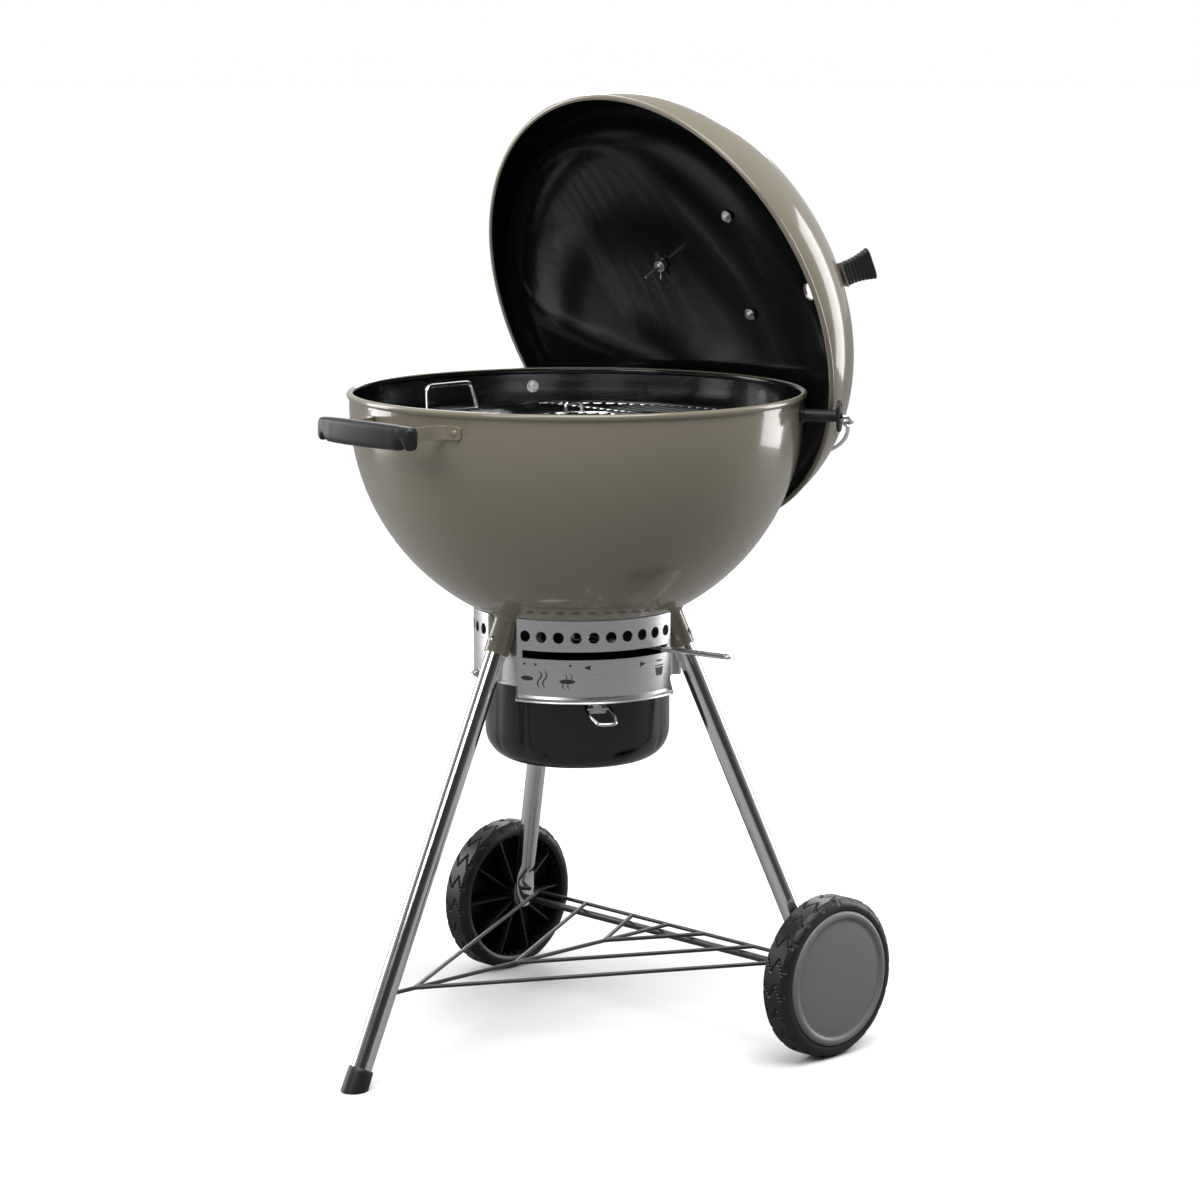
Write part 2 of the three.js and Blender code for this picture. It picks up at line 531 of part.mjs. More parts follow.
add('pot_handle', potHandle(), CHROME);

// ---------------------------------------------------------------- ash sweeper and its lever
const bowlFloorZ = BOWL_CENTRE_Z - BOWL_R + SHEET;
function sweeper() {
  const layer = toSolid(filledTo(BOWL_R - SHEET - 1.9)).subtract(toSolid(filledTo(BOWL_R - SHEET - 4.4)));
  const outline = [[10, -17], [100, -21], [BLADE_REACH, -13], [BLADE_REACH, 9], [100, 19], [10, 15]];
  const blades = [];
  for (let i = 0; i < BLADE_COUNT; i += 1) {
    const turn = rad(LEVER_AZ + 60 + (360 / BLADE_COUNT) * i);
    blades.push(toGeometry(toSolid(plate(outline, BOWL_BOTTOM_Z - 22, BOWL_BOTTOM_Z + 198).rotateZ(turn)).intersect(layer)));
  }
  const hub = turned([[0, LEVER_Z - 11], [SHAFT_R, LEVER_Z - 11], [SHAFT_R, bowlFloorZ + 2], [20, bowlFloorZ + 4],
    [20, bowlFloorZ + 7], [9, bowlFloorZ + 10], [0, bowlFloorZ + 10]], 16);
  return join(hub, ...blades);
}
const LEVER_Z = SLOT_Z + SLOT_HEIGHT / 2;
add('sweeper_blades', sweeper(), BLACK_ENAMEL);

function lever() {
  const out = polar(1, LEVER_AZ);
  const side = vec(-out.y, out.x, 0);
  const p = (reach, across) => vec(0, 0, LEVER_Z).addScaledVector(out, reach).addScaledVector(side, across);
  const h = LEVER_WIDTH / 2 - LEVER_WIRE;
  const bars = [h, -h].map((across) => rod(p(12, across), p(LEVER_REACH - 11, across), LEVER_WIRE, 8));
  const tip = wire([p(LEVER_REACH - 13, h), p(LEVER_REACH - 6, h), p(LEVER_REACH, h * 0.4), p(LEVER_REACH, -h * 0.4),
    p(LEVER_REACH - 6, -h), p(LEVER_REACH - 13, -h)], LEVER_WIRE, 4, 10, 8);
  const eye = turned([[SHAFT_R + GAP, LEVER_Z - 3], [17, LEVER_Z - 3], [17, LEVER_Z + 3], [SHAFT_R + GAP, LEVER_Z + 3],
    [SHAFT_R + GAP, LEVER_Z - 3]], 16);
  return cut(join(eye, ...bars, tip), rod(vec(0, 0, LEVER_Z - 20), vec(0, 0, LEVER_Z + 20), SHAFT_R + GAP, 16));
}
add('sweeper_lever', lever(), CHROME);
add('lever_nut', cut(rod(vec(0, 0, LEVER_Z - 10.5), vec(0, 0, LEVER_Z - 3 - GAP), 11, 6),
  rod(vec(0, 0, LEVER_Z - 20), vec(0, 0, LEVER_Z), SHAFT_R + GAP, 16)), STEEL);

// ---------------------------------------------------------------- grates
const hoopOf = (radius, thick, z) => new THREE.TorusGeometry(radius, thick, GRATE_SIDES, 28).translate(0, 0, z);
function coalGrate() {
  const parts = [hoopOf(COAL_GRATE_R - 2.5, 2.5, COAL_GRATE_Z)];
  for (let y = -5; y <= 5; y += 1) {
    const across = y * COAL_ROD_PITCH;
    const reach = Math.sqrt((COAL_GRATE_R - 2) ** 2 - across ** 2);
    parts.push(rod(vec(-reach, across, COAL_GRATE_Z), vec(reach, across, COAL_GRATE_Z), 2.5, GRATE_SIDES));
  }
  [-90, 90].forEach((x) => {
    const reach = Math.sqrt((COAL_GRATE_R - 2) ** 2 - x ** 2);
    parts.push(rod(vec(x, -reach, COAL_GRATE_Z - 3), vec(x, reach, COAL_GRATE_Z - 3), 2.5, GRATE_SIDES));
  });
  return join(...parts);
}
add('charcoal_grate', coalGrate(), STEEL);

// Cooking grate: outer ring, fixed rods, and openings for the flaps and the round insert.
const rodLines = [];
for (let y = -7; y <= 7; y += 1) rodLines.push(y * ROD_PITCH);
const crossZ = GRATE_Z - 3.6;
function grateFrame() {
  const parts = [hoopOf(GRATE_R - 3, 3, GRATE_Z), hoopOf(INSERT_R + 8.5, 3, GRATE_Z)];
  const crossReach = Math.sqrt((GRATE_R - 4) ** 2 - (FLAP_X - 6) ** 2);
  [-1, 1].forEach((side) => {
    const x = side * (FLAP_X - 6);
    parts.push(rod(vec(x, -crossReach, GRATE_Z), vec(x, crossReach, GRATE_Z), 3, GRATE_SIDES));
  });
  rodLines.forEach((y) => {
    const outer = Math.min(FLAP_X - 6, Math.sqrt((GRATE_R - 3) ** 2 - y * y));
    const inner = Math.abs(y) < INSERT_R + 8.5 ? Math.sqrt((INSERT_R + 8.5) ** 2 - y * y) : 0;
    if (inner >= outer) return;
    if (inner === 0) {
      parts.push(rod(vec(-outer, y, GRATE_Z), vec(outer, y, GRATE_Z), GRATE_WIRE, GRATE_SIDES));
    } else {
      parts.push(rod(vec(inner, y, GRATE_Z), vec(outer, y, GRATE_Z), GRATE_WIRE, GRATE_SIDES));
      parts.push(rod(vec(-inner, y, GRATE_Z), vec(-outer, y, GRATE_Z), GRATE_WIRE, GRATE_SIDES));
    }
  });
  [-1, 1].forEach((side) => {
    const y = side * (GRATE_R - 26);
    parts.push(wire([vec(-44, y - side * 8, GRATE_Z), vec(-36, y, GRATE_Z + 34), vec(36, y, GRATE_Z + 34),
      vec(44, y - side * 8, GRATE_Z)], 3, 8, 14));
    parts.push(rod(vec(-52, y - side * 8, GRATE_Z), vec(52, y - side * 8, GRATE_Z), 3, GRATE_SIDES));
    parts.push(rod(vec(0, side * (INSERT_R + 8.5), GRATE_Z), vec(0, side * (GRATE_R - 3), GRATE_Z), 3, GRATE_SIDES));
  });
  return join(...parts);
}
add('cooking_grate', grateFrame(), CHROME);

function flap(side) {
  const hinge = FLAP_X;
  const inset = GRATE_R - 10;
  const spread = Math.acos((hinge + 3) / inset) * (180 / Math.PI);
  const edge = new THREE.EllipseCurve(0, 0, inset, inset, rad(-spread), rad(spread)).getPoints(10)
    .map((p) => vec(side * p.x, p.y, GRATE_Z));
  const parts = [along(new THREE.CatmullRomCurve3(edge), 2.8, 12, GRATE_SIDES)];
  const reach = Math.sqrt(inset ** 2 - (hinge + 3) ** 2);
  parts.push(rod(vec(side * (hinge + 3), -reach, GRATE_Z), vec(side * (hinge + 3), reach, GRATE_Z), 2.8, GRATE_SIDES));
  rodLines.filter((y) => Math.abs(y) < reach - 8).forEach((y) => {
    parts.push(rod(vec(side * (hinge + 3), y, GRATE_Z), vec(side * (Math.sqrt(inset ** 2 - y * y) - 0.5), y, GRATE_Z), GRATE_WIRE, GRATE_SIDES));
  });
  return join(...parts);
}
add('grate_flap_front', flap(-1), CHROME);
add('grate_flap_rear', flap(1), CHROME);

function insert() {
  const parts = [hoopOf(INSERT_R - 3, 3, GRATE_Z)];
  rodLines.filter((y) => Math.abs(y) < INSERT_R - 8).forEach((y) => {
    const reach = Math.sqrt((INSERT_R - 3) ** 2 - y * y);
    parts.push(rod(vec(-reach, y, GRATE_Z), vec(reach, y, GRATE_Z), GRATE_WIRE, GRATE_SIDES));
  });
  [-1, 1].forEach((side) => {
    const y = side * 99;
    parts.push(wire([vec(74, y, GRATE_Z), vec(76, y, GRATE_Z + 16), vec(102, y, GRATE_Z + 16), vec(104, y, GRATE_Z)], 2.4, 5, 14));
    parts.push(rod(vec(70, y, GRATE_Z), vec(Math.sqrt((INSERT_R - 3) ** 2 - y * y), y, GRATE_Z), 2.4, GRATE_SIDES));
  });
  return join(...parts);
}
add('grate_insert', insert(), CHROME);

// Ledges riveted inside the bowl: an upper step for the cooking grate and a lower one for the charcoal grate.
function ledge(turn) {
  const inside = BOWL_R - SHEET - GAP;
  const wall = (z) => Math.sqrt(inside ** 2 - (BOWL_CENTRE_Z - z) ** 2);
  const top = GRATE_Z - 3 - GAP;
  const low = COAL_GRATE_Z - 6.5 - GAP;
  const bend = COAL_GRATE_Z + 70;
  const outline = [[GRATE_R - 9, top], [GRATE_R - 9, top - 3], [wall(top - 14) - 7, top - 14],
    [wall(bend) - 4, bend], [wall(low) - 4, low], [COAL_GRATE_R - 13, low], [COAL_GRATE_R - 13, low - 3],
    [wall(low - 3) + 3, low - 3], [wall(bend) + 3, bend], [wall(top) + 3, top]];
  const geometry = plate(outline, -9, 9);
  geometry.applyMatrix4(frameAt(vec(1, 0, 0), vec(0, 0, 1), vec(0, -1, 0), vec(0, 0, 0)));
  return meet(geometry.rotateZ(rad(turn)), bowlInterior);
}
LEDGE_AZIMUTHS.forEach((turn, i) => add(`grate_ledge_${i + 1}`, ledge(turn), STEEL));

// ---------------------------------------------------------------- lid holder
const hinge = polar(HOLDER_END_R + FLANGE_THICK / 2, HOLDER_AZ, HOLDER_Z);
function standoff(sign) {
  const out = polar(1, sign * HOLDER_AZ);
  const side = vec(-out.y, out.x, 0);
  const at = (r, across = 0, lift = 0) => vec(0, 0, HOLDER_Z + lift).addScaledVector(out, r).addScaledVector(side, across);
  const flangeOutline = [...arc(0, 9.5, 10, 0, 180, 6), ...arc(0, -9.5, 10, 180, 360, 6)];
  const flange = place(plate(flangeOutline, 0, FLANGE_THICK), frameAt(side, vec(0, 0, 1), out, at(HOLDER_END_R)));
  const tube = rod(at(BOWL_R + GAP + 0.6), at(HOLDER_END_R + 1), HOLDER_TUBE_R, 12);
  const collar = rod(at(BOWL_R + GAP + 0.6), at(BOWL_R + 6), HOLDER_TUBE_R + 2.5, 12);
  const boltBore = rod(at(BOWL_R - 10), at(HOLDER_END_R - 20), 3 + HOLE_GAP, 8);
  const wireBore = rod(at(HOLDER_END_R - 12), at(HOLDER_END_R + 20), 5.2, 8);
  const upperHole = rod(at(HOLDER_END_R - 6, 0, 14), at(HOLDER_END_R + 20, 0, 14), HOOP_WIRE + 0.5, 8);
  return cut(join(tube, collar, flange), boltBore, wireBore, upperHole);
}
function standoffBolt(sign) {
  const out = polar(1, sign * HOLDER_AZ);
  const at = (r) => vec(0, 0, HOLDER_Z).addScaledVector(out, r);
  const wall = BOWL_R - SHEET - 2.4;
  return join(rod(at(wall - 1), at(HOLDER_END_R - 22), 3, 8), rod(at(wall), at(wall - 1.6), 8, 12), rod(at(wall - 1), at(wall - 6), 5.6, 6));
}
[['near', -1], ['far', 1]].forEach(([side, sign]) => {
  add(`holder_standoff_${side}`, standoff(sign), NYLON);
  add(`holder_bolt_${side}`, standoffBolt(sign), STEEL);
});

// Hoop: a wire arc that cradles the hung lid, hinged in the two standoffs.
function holderHoop() {
  const flat = (d, y) => vec(hinge.x + d * Math.cos(HOOP_DROP), y, HOLDER_Z - d * Math.sin(HOOP_DROP));
  const side = [[0, hinge.y - 5], [0, hinge.y + 9], [8, hinge.y + 13], [16, hinge.y + 9], [23, hinge.y - 10]];
  const points = [];
  const start = 32;
  const from = Math.acos((hinge.x + start) / HOOP_R);
  const onArc = (turn) => [HOOP_R * Math.cos(turn) - hinge.x, HOOP_R * Math.sin(turn)];
  for (let i = 0; i <= 16; i += 1) points.push(flat(...onArc(from - (2 * from * i) / 16)));
  const ends = [1, -1].map((sign) => wire([...side, onArc(from), onArc(from - 0.02)].map(([d, y]) => flat(d, sign * y)),
    HOOP_WIRE, 5, 14));
  return join(along(new THREE.CatmullRomCurve3(points), HOOP_WIRE, 18), ...ends);
}
add('lid_holder_hoop', holderHoop(), CHROME);

// ---------------------------------------------------------------- lid, in its own frame: Z is the dome's axis
const lid = new THREE.Group();
const lidUp = vec(-Math.sin(LID_TILT), 0, Math.cos(LID_TILT));
const lidAxis = vec(Math.cos(LID_TILT), 0, Math.sin(LID_TILT));
lid.applyMatrix4(frameAt(lidUp, vec(0, -1, 0), lidAxis, vec(...LID_CENTRE)));
standing.add(lid);

const domeSquash = LID_DEPTH / LID_R;
const domeAt = (r) => LID_DEPTH * Math.sqrt(1 - (r / LID_R) ** 2);
function domeProfile() {
  const inner = LID_R - SHEET;
  const fromTop = (radius, squash) => arc(0, 0, radius, 90, 0, STEPS, squash).map(([r, z], i) => [i ? r : 0, z]);
  const bead = arc(LID_R - SHEET / 2, -LID_BEAD_R - 1, LID_BEAD_R, 73, -253, 6);
  return [...fromTop(LID_R, domeSquash), ...bead, ...fromTop(inner, (LID_DEPTH - SHEET) / inner).reverse()];
}

// Frame standing on the dome at a distance from the axis, towards local +Y (sign 1) or -Y (sign -1).
function domeFrame(offset, sign, lift = 0) {
  const h = domeAt(offset);
  const normal = vec(0, sign * (offset / LID_R ** 2), h / LID_DEPTH ** 2).normalize();
  const x = vec(1, 0, 0);
  const y = new THREE.Vector3().crossVectors(normal, x);
  return frameAt(x, y, normal, vec(0, sign * offset, h).addScaledVector(normal, lift));
}
const damperFrame = domeFrame(DAMPER_OFFSET, 1);
const thermoFrame = domeFrame(THERMO_OFFSET, -1);
const zRod = (x, y, z0, z1, radius, sides = ROUND) => rod(vec(x, y, z0), vec(x, y, z1), radius, sides);
const damperHoleAt = (i, turn = 45) => polar(DAMPER_HOLE_CIRCLE, turn + (360 / DAMPER_HOLES) * i);

function lidShell() {
  const tools = [];
  for (let i = 0; i < DAMPER_HOLES; i += 1) {
    const p = damperHoleAt(i);
    tools.push(place(zRod(p.x, p.y, -30, 20, DAMPER_HOLE_R, 10), damperFrame));
  }
  tools.push(place(zRod(0, 0, -20, 20, 3 + HOLE_GAP, 8), damperFrame));
  tools.push(place(zRod(0, 0, -20, 20, 4 + HOLE_GAP, 8), thermoFrame));
  [-1, 1].forEach((side) => tools.push(zRod(side * LID_HANDLE_HALF, 0, LID_DEPTH - 40, LID_DEPTH + 20, 3 + HOLE_GAP, 8)));
  return cut(turned(domeProfile()), ...tools);
}
add('lid', lidShell(), KHAKI, lid);

// Damper: a dished disc with four holes and an arm that carries the knob.
const discLift = 1.0;
const DAMPER_ARM_TURN = 78;
function damperDisc() {
  const dish = (r) => discLift - (DAMPER_DISH - Math.sqrt(DAMPER_DISH ** 2 - r * r));
  const radii = [0, 30, DAMPER_R];
  const profile = [...radii.map((r) => [r, dish(r) + 1.4]), ...[...radii].reverse().map((r) => [r, dish(r)])];
  const arm = plate([[DAMPER_R - 4, -13], [DAMPER_ARM + 6, -16], [DAMPER_ARM + 6, 16], [DAMPER_R - 4, 13]], -3.6, -2.2)
    .rotateZ(rad(DAMPER_ARM_TURN));
  const holes = [];
  for (let i = 0; i < DAMPER_HOLES; i += 1) {
    const p = damperHoleAt(i);
    holes.push(zRod(p.x, p.y, -20, 20, DAMPER_HOLE_R, 10));
  }
  const drop = dish(DAMPER_R);
  arm.translate(0, 0, 2.2 + drop + 0.9);
  return place(cut(join(turned(profile, 24), arm), zRod(0, 0, -20, 20, 3 + HOLE_GAP, 8), ...holes), damperFrame);
}
add('damper_disc', damperDisc(), BRUSHED, lid);
function damperKnob() {
  const base = discLift - (DAMPER_DISH - Math.sqrt(DAMPER_DISH ** 2 - DAMPER_R ** 2)) + 0.9 + GAP;
  const body = plate([[-8, -17], [8, -17], [9, 0], [8, 17], [-8, 17], [-9, 0]], 0, 1);
  const scaled = body.attributes.position;
  for (let i = 0; i < scaled.count; i += 1) {
    const top = scaled.getZ(i) > 0.5;
    scaled.setXYZ(i, scaled.getX(i) * (top ? 0.75 : 1), scaled.getY(i) * (top ? 1.35 : 1), top ? base + 44 : base);
  }
  body.translate(DAMPER_ARM - 2, 0, 0);
  return place(body.rotateZ(rad(DAMPER_ARM_TURN)), damperFrame);
}
add('damper_knob', damperKnob(), NYLON, lid);
add('damper_rivet', place(turned([[0, -5.2], [6, -5.2], [6, -2.7 - GAP], [3, -2.7 - GAP], [3, 2.6 + GAP], [7, 2.6 + GAP],
  [5, 5.4], [0, 5.8]], 12), damperFrame), STEEL, lid);

// Thermometer: round housing outside, stem and wing nut inside.
const dialLift = 3.4;
add('thermometer', place(join(turned([[0, dialLift], [THERMO_R - 4, dialLift], [THERMO_R, dialLift + 3], [THERMO_R, dialLift + 11],
  [THERMO_R - 3, dialLift + 13], [0, dialLift + 13]], 24), zRod(0, 0, -16, dialLift + 1, 4, 8), zRod(0, 0, -52, -15, 2, 6)),
thermoFrame), STEEL, lid);
function wingNut() {
  const body = turned([[4.5, -12], [8, -12], [9.5, -4.4], [4.5, -4.4], [4.5, -12]], 12);
  const wings = [rod(vec(6, 0, -8), vec(16, 0, -13), 2.6, 6), rod(vec(-6, 0, -8), vec(-16, 0, -13), 2.6, 6)];
  return place(join(body, ...wings), thermoFrame);
}
add('thermometer_wing_nut', wingNut(), STEEL, lid);

// Lid handle: two posts and a bar above a steel heat shield.
function heatShield() {
  const bend = [[-96, 7], [-60, 5.4], [60, 5.4], [96, 7], [96, 5.6], [60, 4], [-60, 4], [-96, 5.6]];
  const strip = plate(bend, -22, 22);
  strip.applyMatrix4(frameAt(vec(1, 0, 0), vec(0, 0, 1), vec(0, -1, 0), vec(0, 0, LID_DEPTH - 3.4)));
  return cut(strip, ...[-1, 1].map((side) => zRod(side * LID_HANDLE_HALF, 0, LID_DEPTH - 40, LID_DEPTH + 20, 3 + HOLE_GAP, 8)));
}
add('lid_heat_shield', heatShield(), BRUSHED, lid);
function lidHandle() {
  const base = LID_DEPTH + 3.6 + GAP;
  const top = LID_DEPTH + LID_HANDLE_RISE;
  const outline = [[-78, base], [-58, base], [-52, top - 22], [52, top - 22], [58, base], [78, base], [74, top - 12],
    [60, top - 2], [0, top + 2], [-60, top - 2], [-74, top - 12]];
  const bar = plate(outline, -14, 14);
  bar.applyMatrix4(frameAt(vec(1, 0, 0), vec(0, 0, 1), vec(0, -1, 0), vec(0, 0, 0)));
  return cut(bar, ...[-1, 1].map((side) => zRod(side * LID_HANDLE_HALF, 0, LID_DEPTH - 40, base + 14, 3 + HOLE_GAP, 8)));
}
add('lid_handle', lidHandle(), NYLON, lid);
[['lower', -1], ['upper', 1]].forEach(([where, side]) => {
  const seat = domeAt(LID_HANDLE_HALF) - SHEET;
  const x = side * LID_HANDLE_HALF;
  add(`lid_handle_bolt_${where}`, join(zRod(x, 0, seat - 3, LID_DEPTH + 15, 3, 8), zRod(x, 0, seat - 4.2, seat - 2.6, 8),
    zRod(x, 0, seat - 8, seat - 4, 5.4, 6)), STEEL, lid);
});

// ---------------------------------------------------------------- origin under the middle of the whole object
grill.updateMatrixWorld(true);
const box = new THREE.Box3().setFromObject(grill, true);
standing.position.set(-(box.min.x + box.max.x) / 2, -(box.min.y + box.max.y) / 2, -box.min.z);
grill.updateMatrixWorld(true);

export default grill;
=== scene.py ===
"""Kettle charcoal grill: the visual model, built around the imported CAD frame."""

import math

import bmesh
import bpy
from bpy.props import FloatProperty, FloatVectorProperty, IntProperty, PointerProperty
from mathutils import Matrix, Vector


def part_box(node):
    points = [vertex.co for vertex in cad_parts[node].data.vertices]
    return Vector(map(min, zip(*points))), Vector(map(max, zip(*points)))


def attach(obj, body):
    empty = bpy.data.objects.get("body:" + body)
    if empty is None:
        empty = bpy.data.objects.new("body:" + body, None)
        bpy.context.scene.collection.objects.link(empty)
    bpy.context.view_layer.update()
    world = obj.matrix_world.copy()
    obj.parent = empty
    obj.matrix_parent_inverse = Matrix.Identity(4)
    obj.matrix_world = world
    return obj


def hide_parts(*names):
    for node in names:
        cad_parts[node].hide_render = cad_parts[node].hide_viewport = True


bl_info = {
    "name": "Kettle Grill",
    "version": (1, 0, 0),
    "blender": (4, 5, 0),
    "location": "View3D > Sidebar > Kettle Grill",
    "description": "Builds a kettle charcoal grill around its packed CAD frame",
    "category": "Object",
}

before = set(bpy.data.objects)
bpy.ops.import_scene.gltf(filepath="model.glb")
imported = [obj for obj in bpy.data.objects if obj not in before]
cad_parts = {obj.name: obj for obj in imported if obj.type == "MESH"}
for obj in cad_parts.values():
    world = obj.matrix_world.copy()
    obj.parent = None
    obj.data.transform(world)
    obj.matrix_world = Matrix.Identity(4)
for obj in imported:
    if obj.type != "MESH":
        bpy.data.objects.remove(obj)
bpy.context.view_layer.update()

# The layout is in millimetres about the bowl's axis, with the floor at z = 0, +X towards the wheels and
# -Y the near side. AXIS_X is the bowl's axis in the frame, in metres. Azimuths are in degrees from +X.
BOWL_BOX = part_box("bowl")
AXIS_X = (BOWL_BOX[0].x + BOWL_BOX[1].x) / 2
RIM_Z = BOWL_BOX[1].z * 1000
PI = math.pi

SHEET = 2.0                         # thickness of the enamelled shells
BEAD = 4.3                          # radius of the bowl's rolled rim
BOWL_CENTRE_Z = RIM_Z - 19          # the bowl is round below this height and straight above it
STRAP_Z = 798                       # middle of the bowl handle's strap
GRIP_HALF = 85

LEG_TOP_R = 121
LEG_TOP_Z = 546
CAP_SLOPE = 0.4635                  # how far the capped leg leans out for each millimetre down
CAP_LEG_END_Z = 10
WHEEL_FOOT = Vector((143, 251, 152))
SOCKET_END_Z = 507
SOCKET_SCREW_Z = 520
AXLE_X, AXLE_Z = 149, 101.5
AXLE_HALF = 311.5
WHEEL_Y = 294
BRACKET_Y = 263.5
LEG_LUG_Y = 258
RACK_Z = 109.3
RACK_TIP_X, RACK_BACK_X = -278, 164
RACK_HALF = 248

PANELS = {"front": -120, "rear": 0, "far": 120}
PANEL_HALF = 48.5                   # half of a ring panel's span, in degrees
RING_R = 130.5
RING_RECESS_R = 119.5               # radius where a leg passes the ring
RING_BOTTOM = 466
RING_SCREW_Z = 473
LIP_Z = 451
VENT_Z = 532.5
SLOT_Z = (505, 515)
POT_R = 116.3
POT_BOTTOM = 360
POT_AZ = -122
POT_PIVOT_Z = 443
LEVER_AZ = -80
LEVER_Z = 510

GRATE_Z = 778
GRATE_R = 263
INSERT_R = 139
ROD = 2.1                           # radius of a cooking grate rod
FLAP_R = 256
FLAP_HINGE = 163
COAL_Z = 640
COAL_R = 210.5

LID_DEPTH = 166
LID_CENTRE = Vector((141.8, 0, 911.8))
LID_TILT = math.radians(19.3)
LID_BEAD = 3.4
LID_BEAD_DROP = 4.4                 # from the lid's mouth down to the middle of its rolled rim
LID_BOLT = 68                       # handle bolts, from the lid's middle
DAMPER_OFFSET = 148
DAMPER_HOLES = [(36, 45 + 90 * k) for k in range(4)]
DAMPER_HOLE_R = 11
DAMPER_DISH = 400                   # radius that the damper plate is dished to
THERMO_OFFSET = 130
HOLDER_AZ = 58.5
HOLDER_Z = 800
HOLDER_END = 329
HOOP_R = 340.5
HOOP_DROP = math.radians(30)

WELD = 0.01                         # points closer than this are joined
DUST_COLOUR = (0.35, 0.33, 0.30)
MIX_A, MIX_B, MIX_RESULT = 6, 7, 2  # sockets of a Mix node set to colours


# ---------------------------------------------------------------- sizes and colours a user may change
class GrillSizes(bpy.types.PropertyGroup):
    """Sizes of the grill's visible detail."""
    bowl_radius: FloatProperty(name="Bowl radius", default=283, min=100,
                               description="Outer radius of the bowl, in millimetres")
    lid_radius: FloatProperty(name="Lid radius", default=290, min=100,
                              description="Outer radius of the lid, in millimetres")
    wheel_radius: FloatProperty(name="Wheel radius", default=101.5, min=40,
                                description="Radius over the tread, in millimetres")
    tube_radius: FloatProperty(name="Leg tube radius", default=12.7, min=4,
                               description="Radius of a leg tube, in millimetres")
    rod_pitch: FloatProperty(name="Grate rod pitch", default=13.0, min=8,
                             description="Distance between the cooking grate's rods, in millimetres")
    tread_blocks: IntProperty(name="Tread blocks", default=20, min=6,
                              description="Tread blocks round a wheel")
    round_steps: IntProperty(name="Facets round", default=128, min=24,
                             description="Facets round a large piece")


class GrillColours(bpy.types.PropertyGroup):
    """Colours of the grill's finishes."""
    enamel: FloatVectorProperty(name="Enamel", description="Bowl and lid outside", subtype="COLOR",
                                default=(0.262, 0.234, 0.172), min=0, max=1)
    black_enamel: FloatVectorProperty(name="Black enamel", description="Ash pot and insides", subtype="COLOR",
                                      default=(0.006, 0.006, 0.0065), min=0, max=1)
    nylon: FloatVectorProperty(name="Nylon", description="Handles and foot cap", subtype="COLOR",
                               default=(0.010, 0.0105, 0.0115), min=0, max=1)
    hubcap: FloatVectorProperty(name="Hubcap", description="Hubcaps and axle brackets", subtype="COLOR",
                                default=(0.175, 0.170, 0.173), min=0, max=1)
    tyre: FloatVectorProperty(name="Tyre", description="Wheels", subtype="COLOR",
                              default=(0.010, 0.010, 0.0105), min=0, max=1)
    floor: FloatVectorProperty(name="Floor", description="Studio floor", subtype="COLOR",
                               default=(0.90, 0.90, 0.90), min=0, max=1)


# ---------------------------------------------------------------- shader groups shared by the materials
def new_group(name, inputs, outputs):
    """Empty shader group with number sockets; gives the group, its input node and its output node."""
    group = bpy.data.node_groups.new(name, "ShaderNodeTree")
    for label, value in inputs:
        socket = group.interface.new_socket(label, in_out="INPUT", socket_type="NodeSocketFloat")
        socket.default_value = value
    for label in outputs:
        group.interface.new_socket(label, in_out="OUTPUT", socket_type="NodeSocketFloat")
    return group, group.nodes.new("NodeGroupInput"), group.nodes.new("NodeGroupOutput")


def mottle_group():
    """Soft uneven patches and a fine grain, from the piece's own coordinates."""
    group = bpy.data.node_groups.get("mottle")
    if group:
        return group
    group, given, out = new_group("mottle", [("Patch scale", 8), ("Grain scale", 400), ("Contrast", 1)],
                                  ["Patches", "Grain"])
    links = group.links
    place = group.nodes.new("ShaderNodeTexCoord")
    for label, scale, detail in (("Patches", "Patch scale", 4), ("Grain", "Grain scale", 2)):
        cloud = group.nodes.new("ShaderNodeTexNoise")
        cloud.inputs["Detail"].default_value = detail
        links.new(place.outputs["Object"], cloud.inputs["Vector"])
        links.new(given.outputs[scale], cloud.inputs["Scale"])
        spread = group.nodes.new("ShaderNodeMath")
        spread.operation = "SUBTRACT"
        spread.inputs[1].default_value = 0.5
        links.new(cloud.outputs["Fac"], spread.inputs[0])
        gain = group.nodes.new("ShaderNodeMath")
        gain.operation = "MULTIPLY_ADD"
        gain.inputs[2].default_value = 0.5
        gain.use_clamp = True
        links.new(spread.outputs[0], gain.inputs[0])
        links.new(given.outputs["Contrast"], gain.inputs[1])
        links.new(gain.outputs[0], out.inputs[label])
    return group


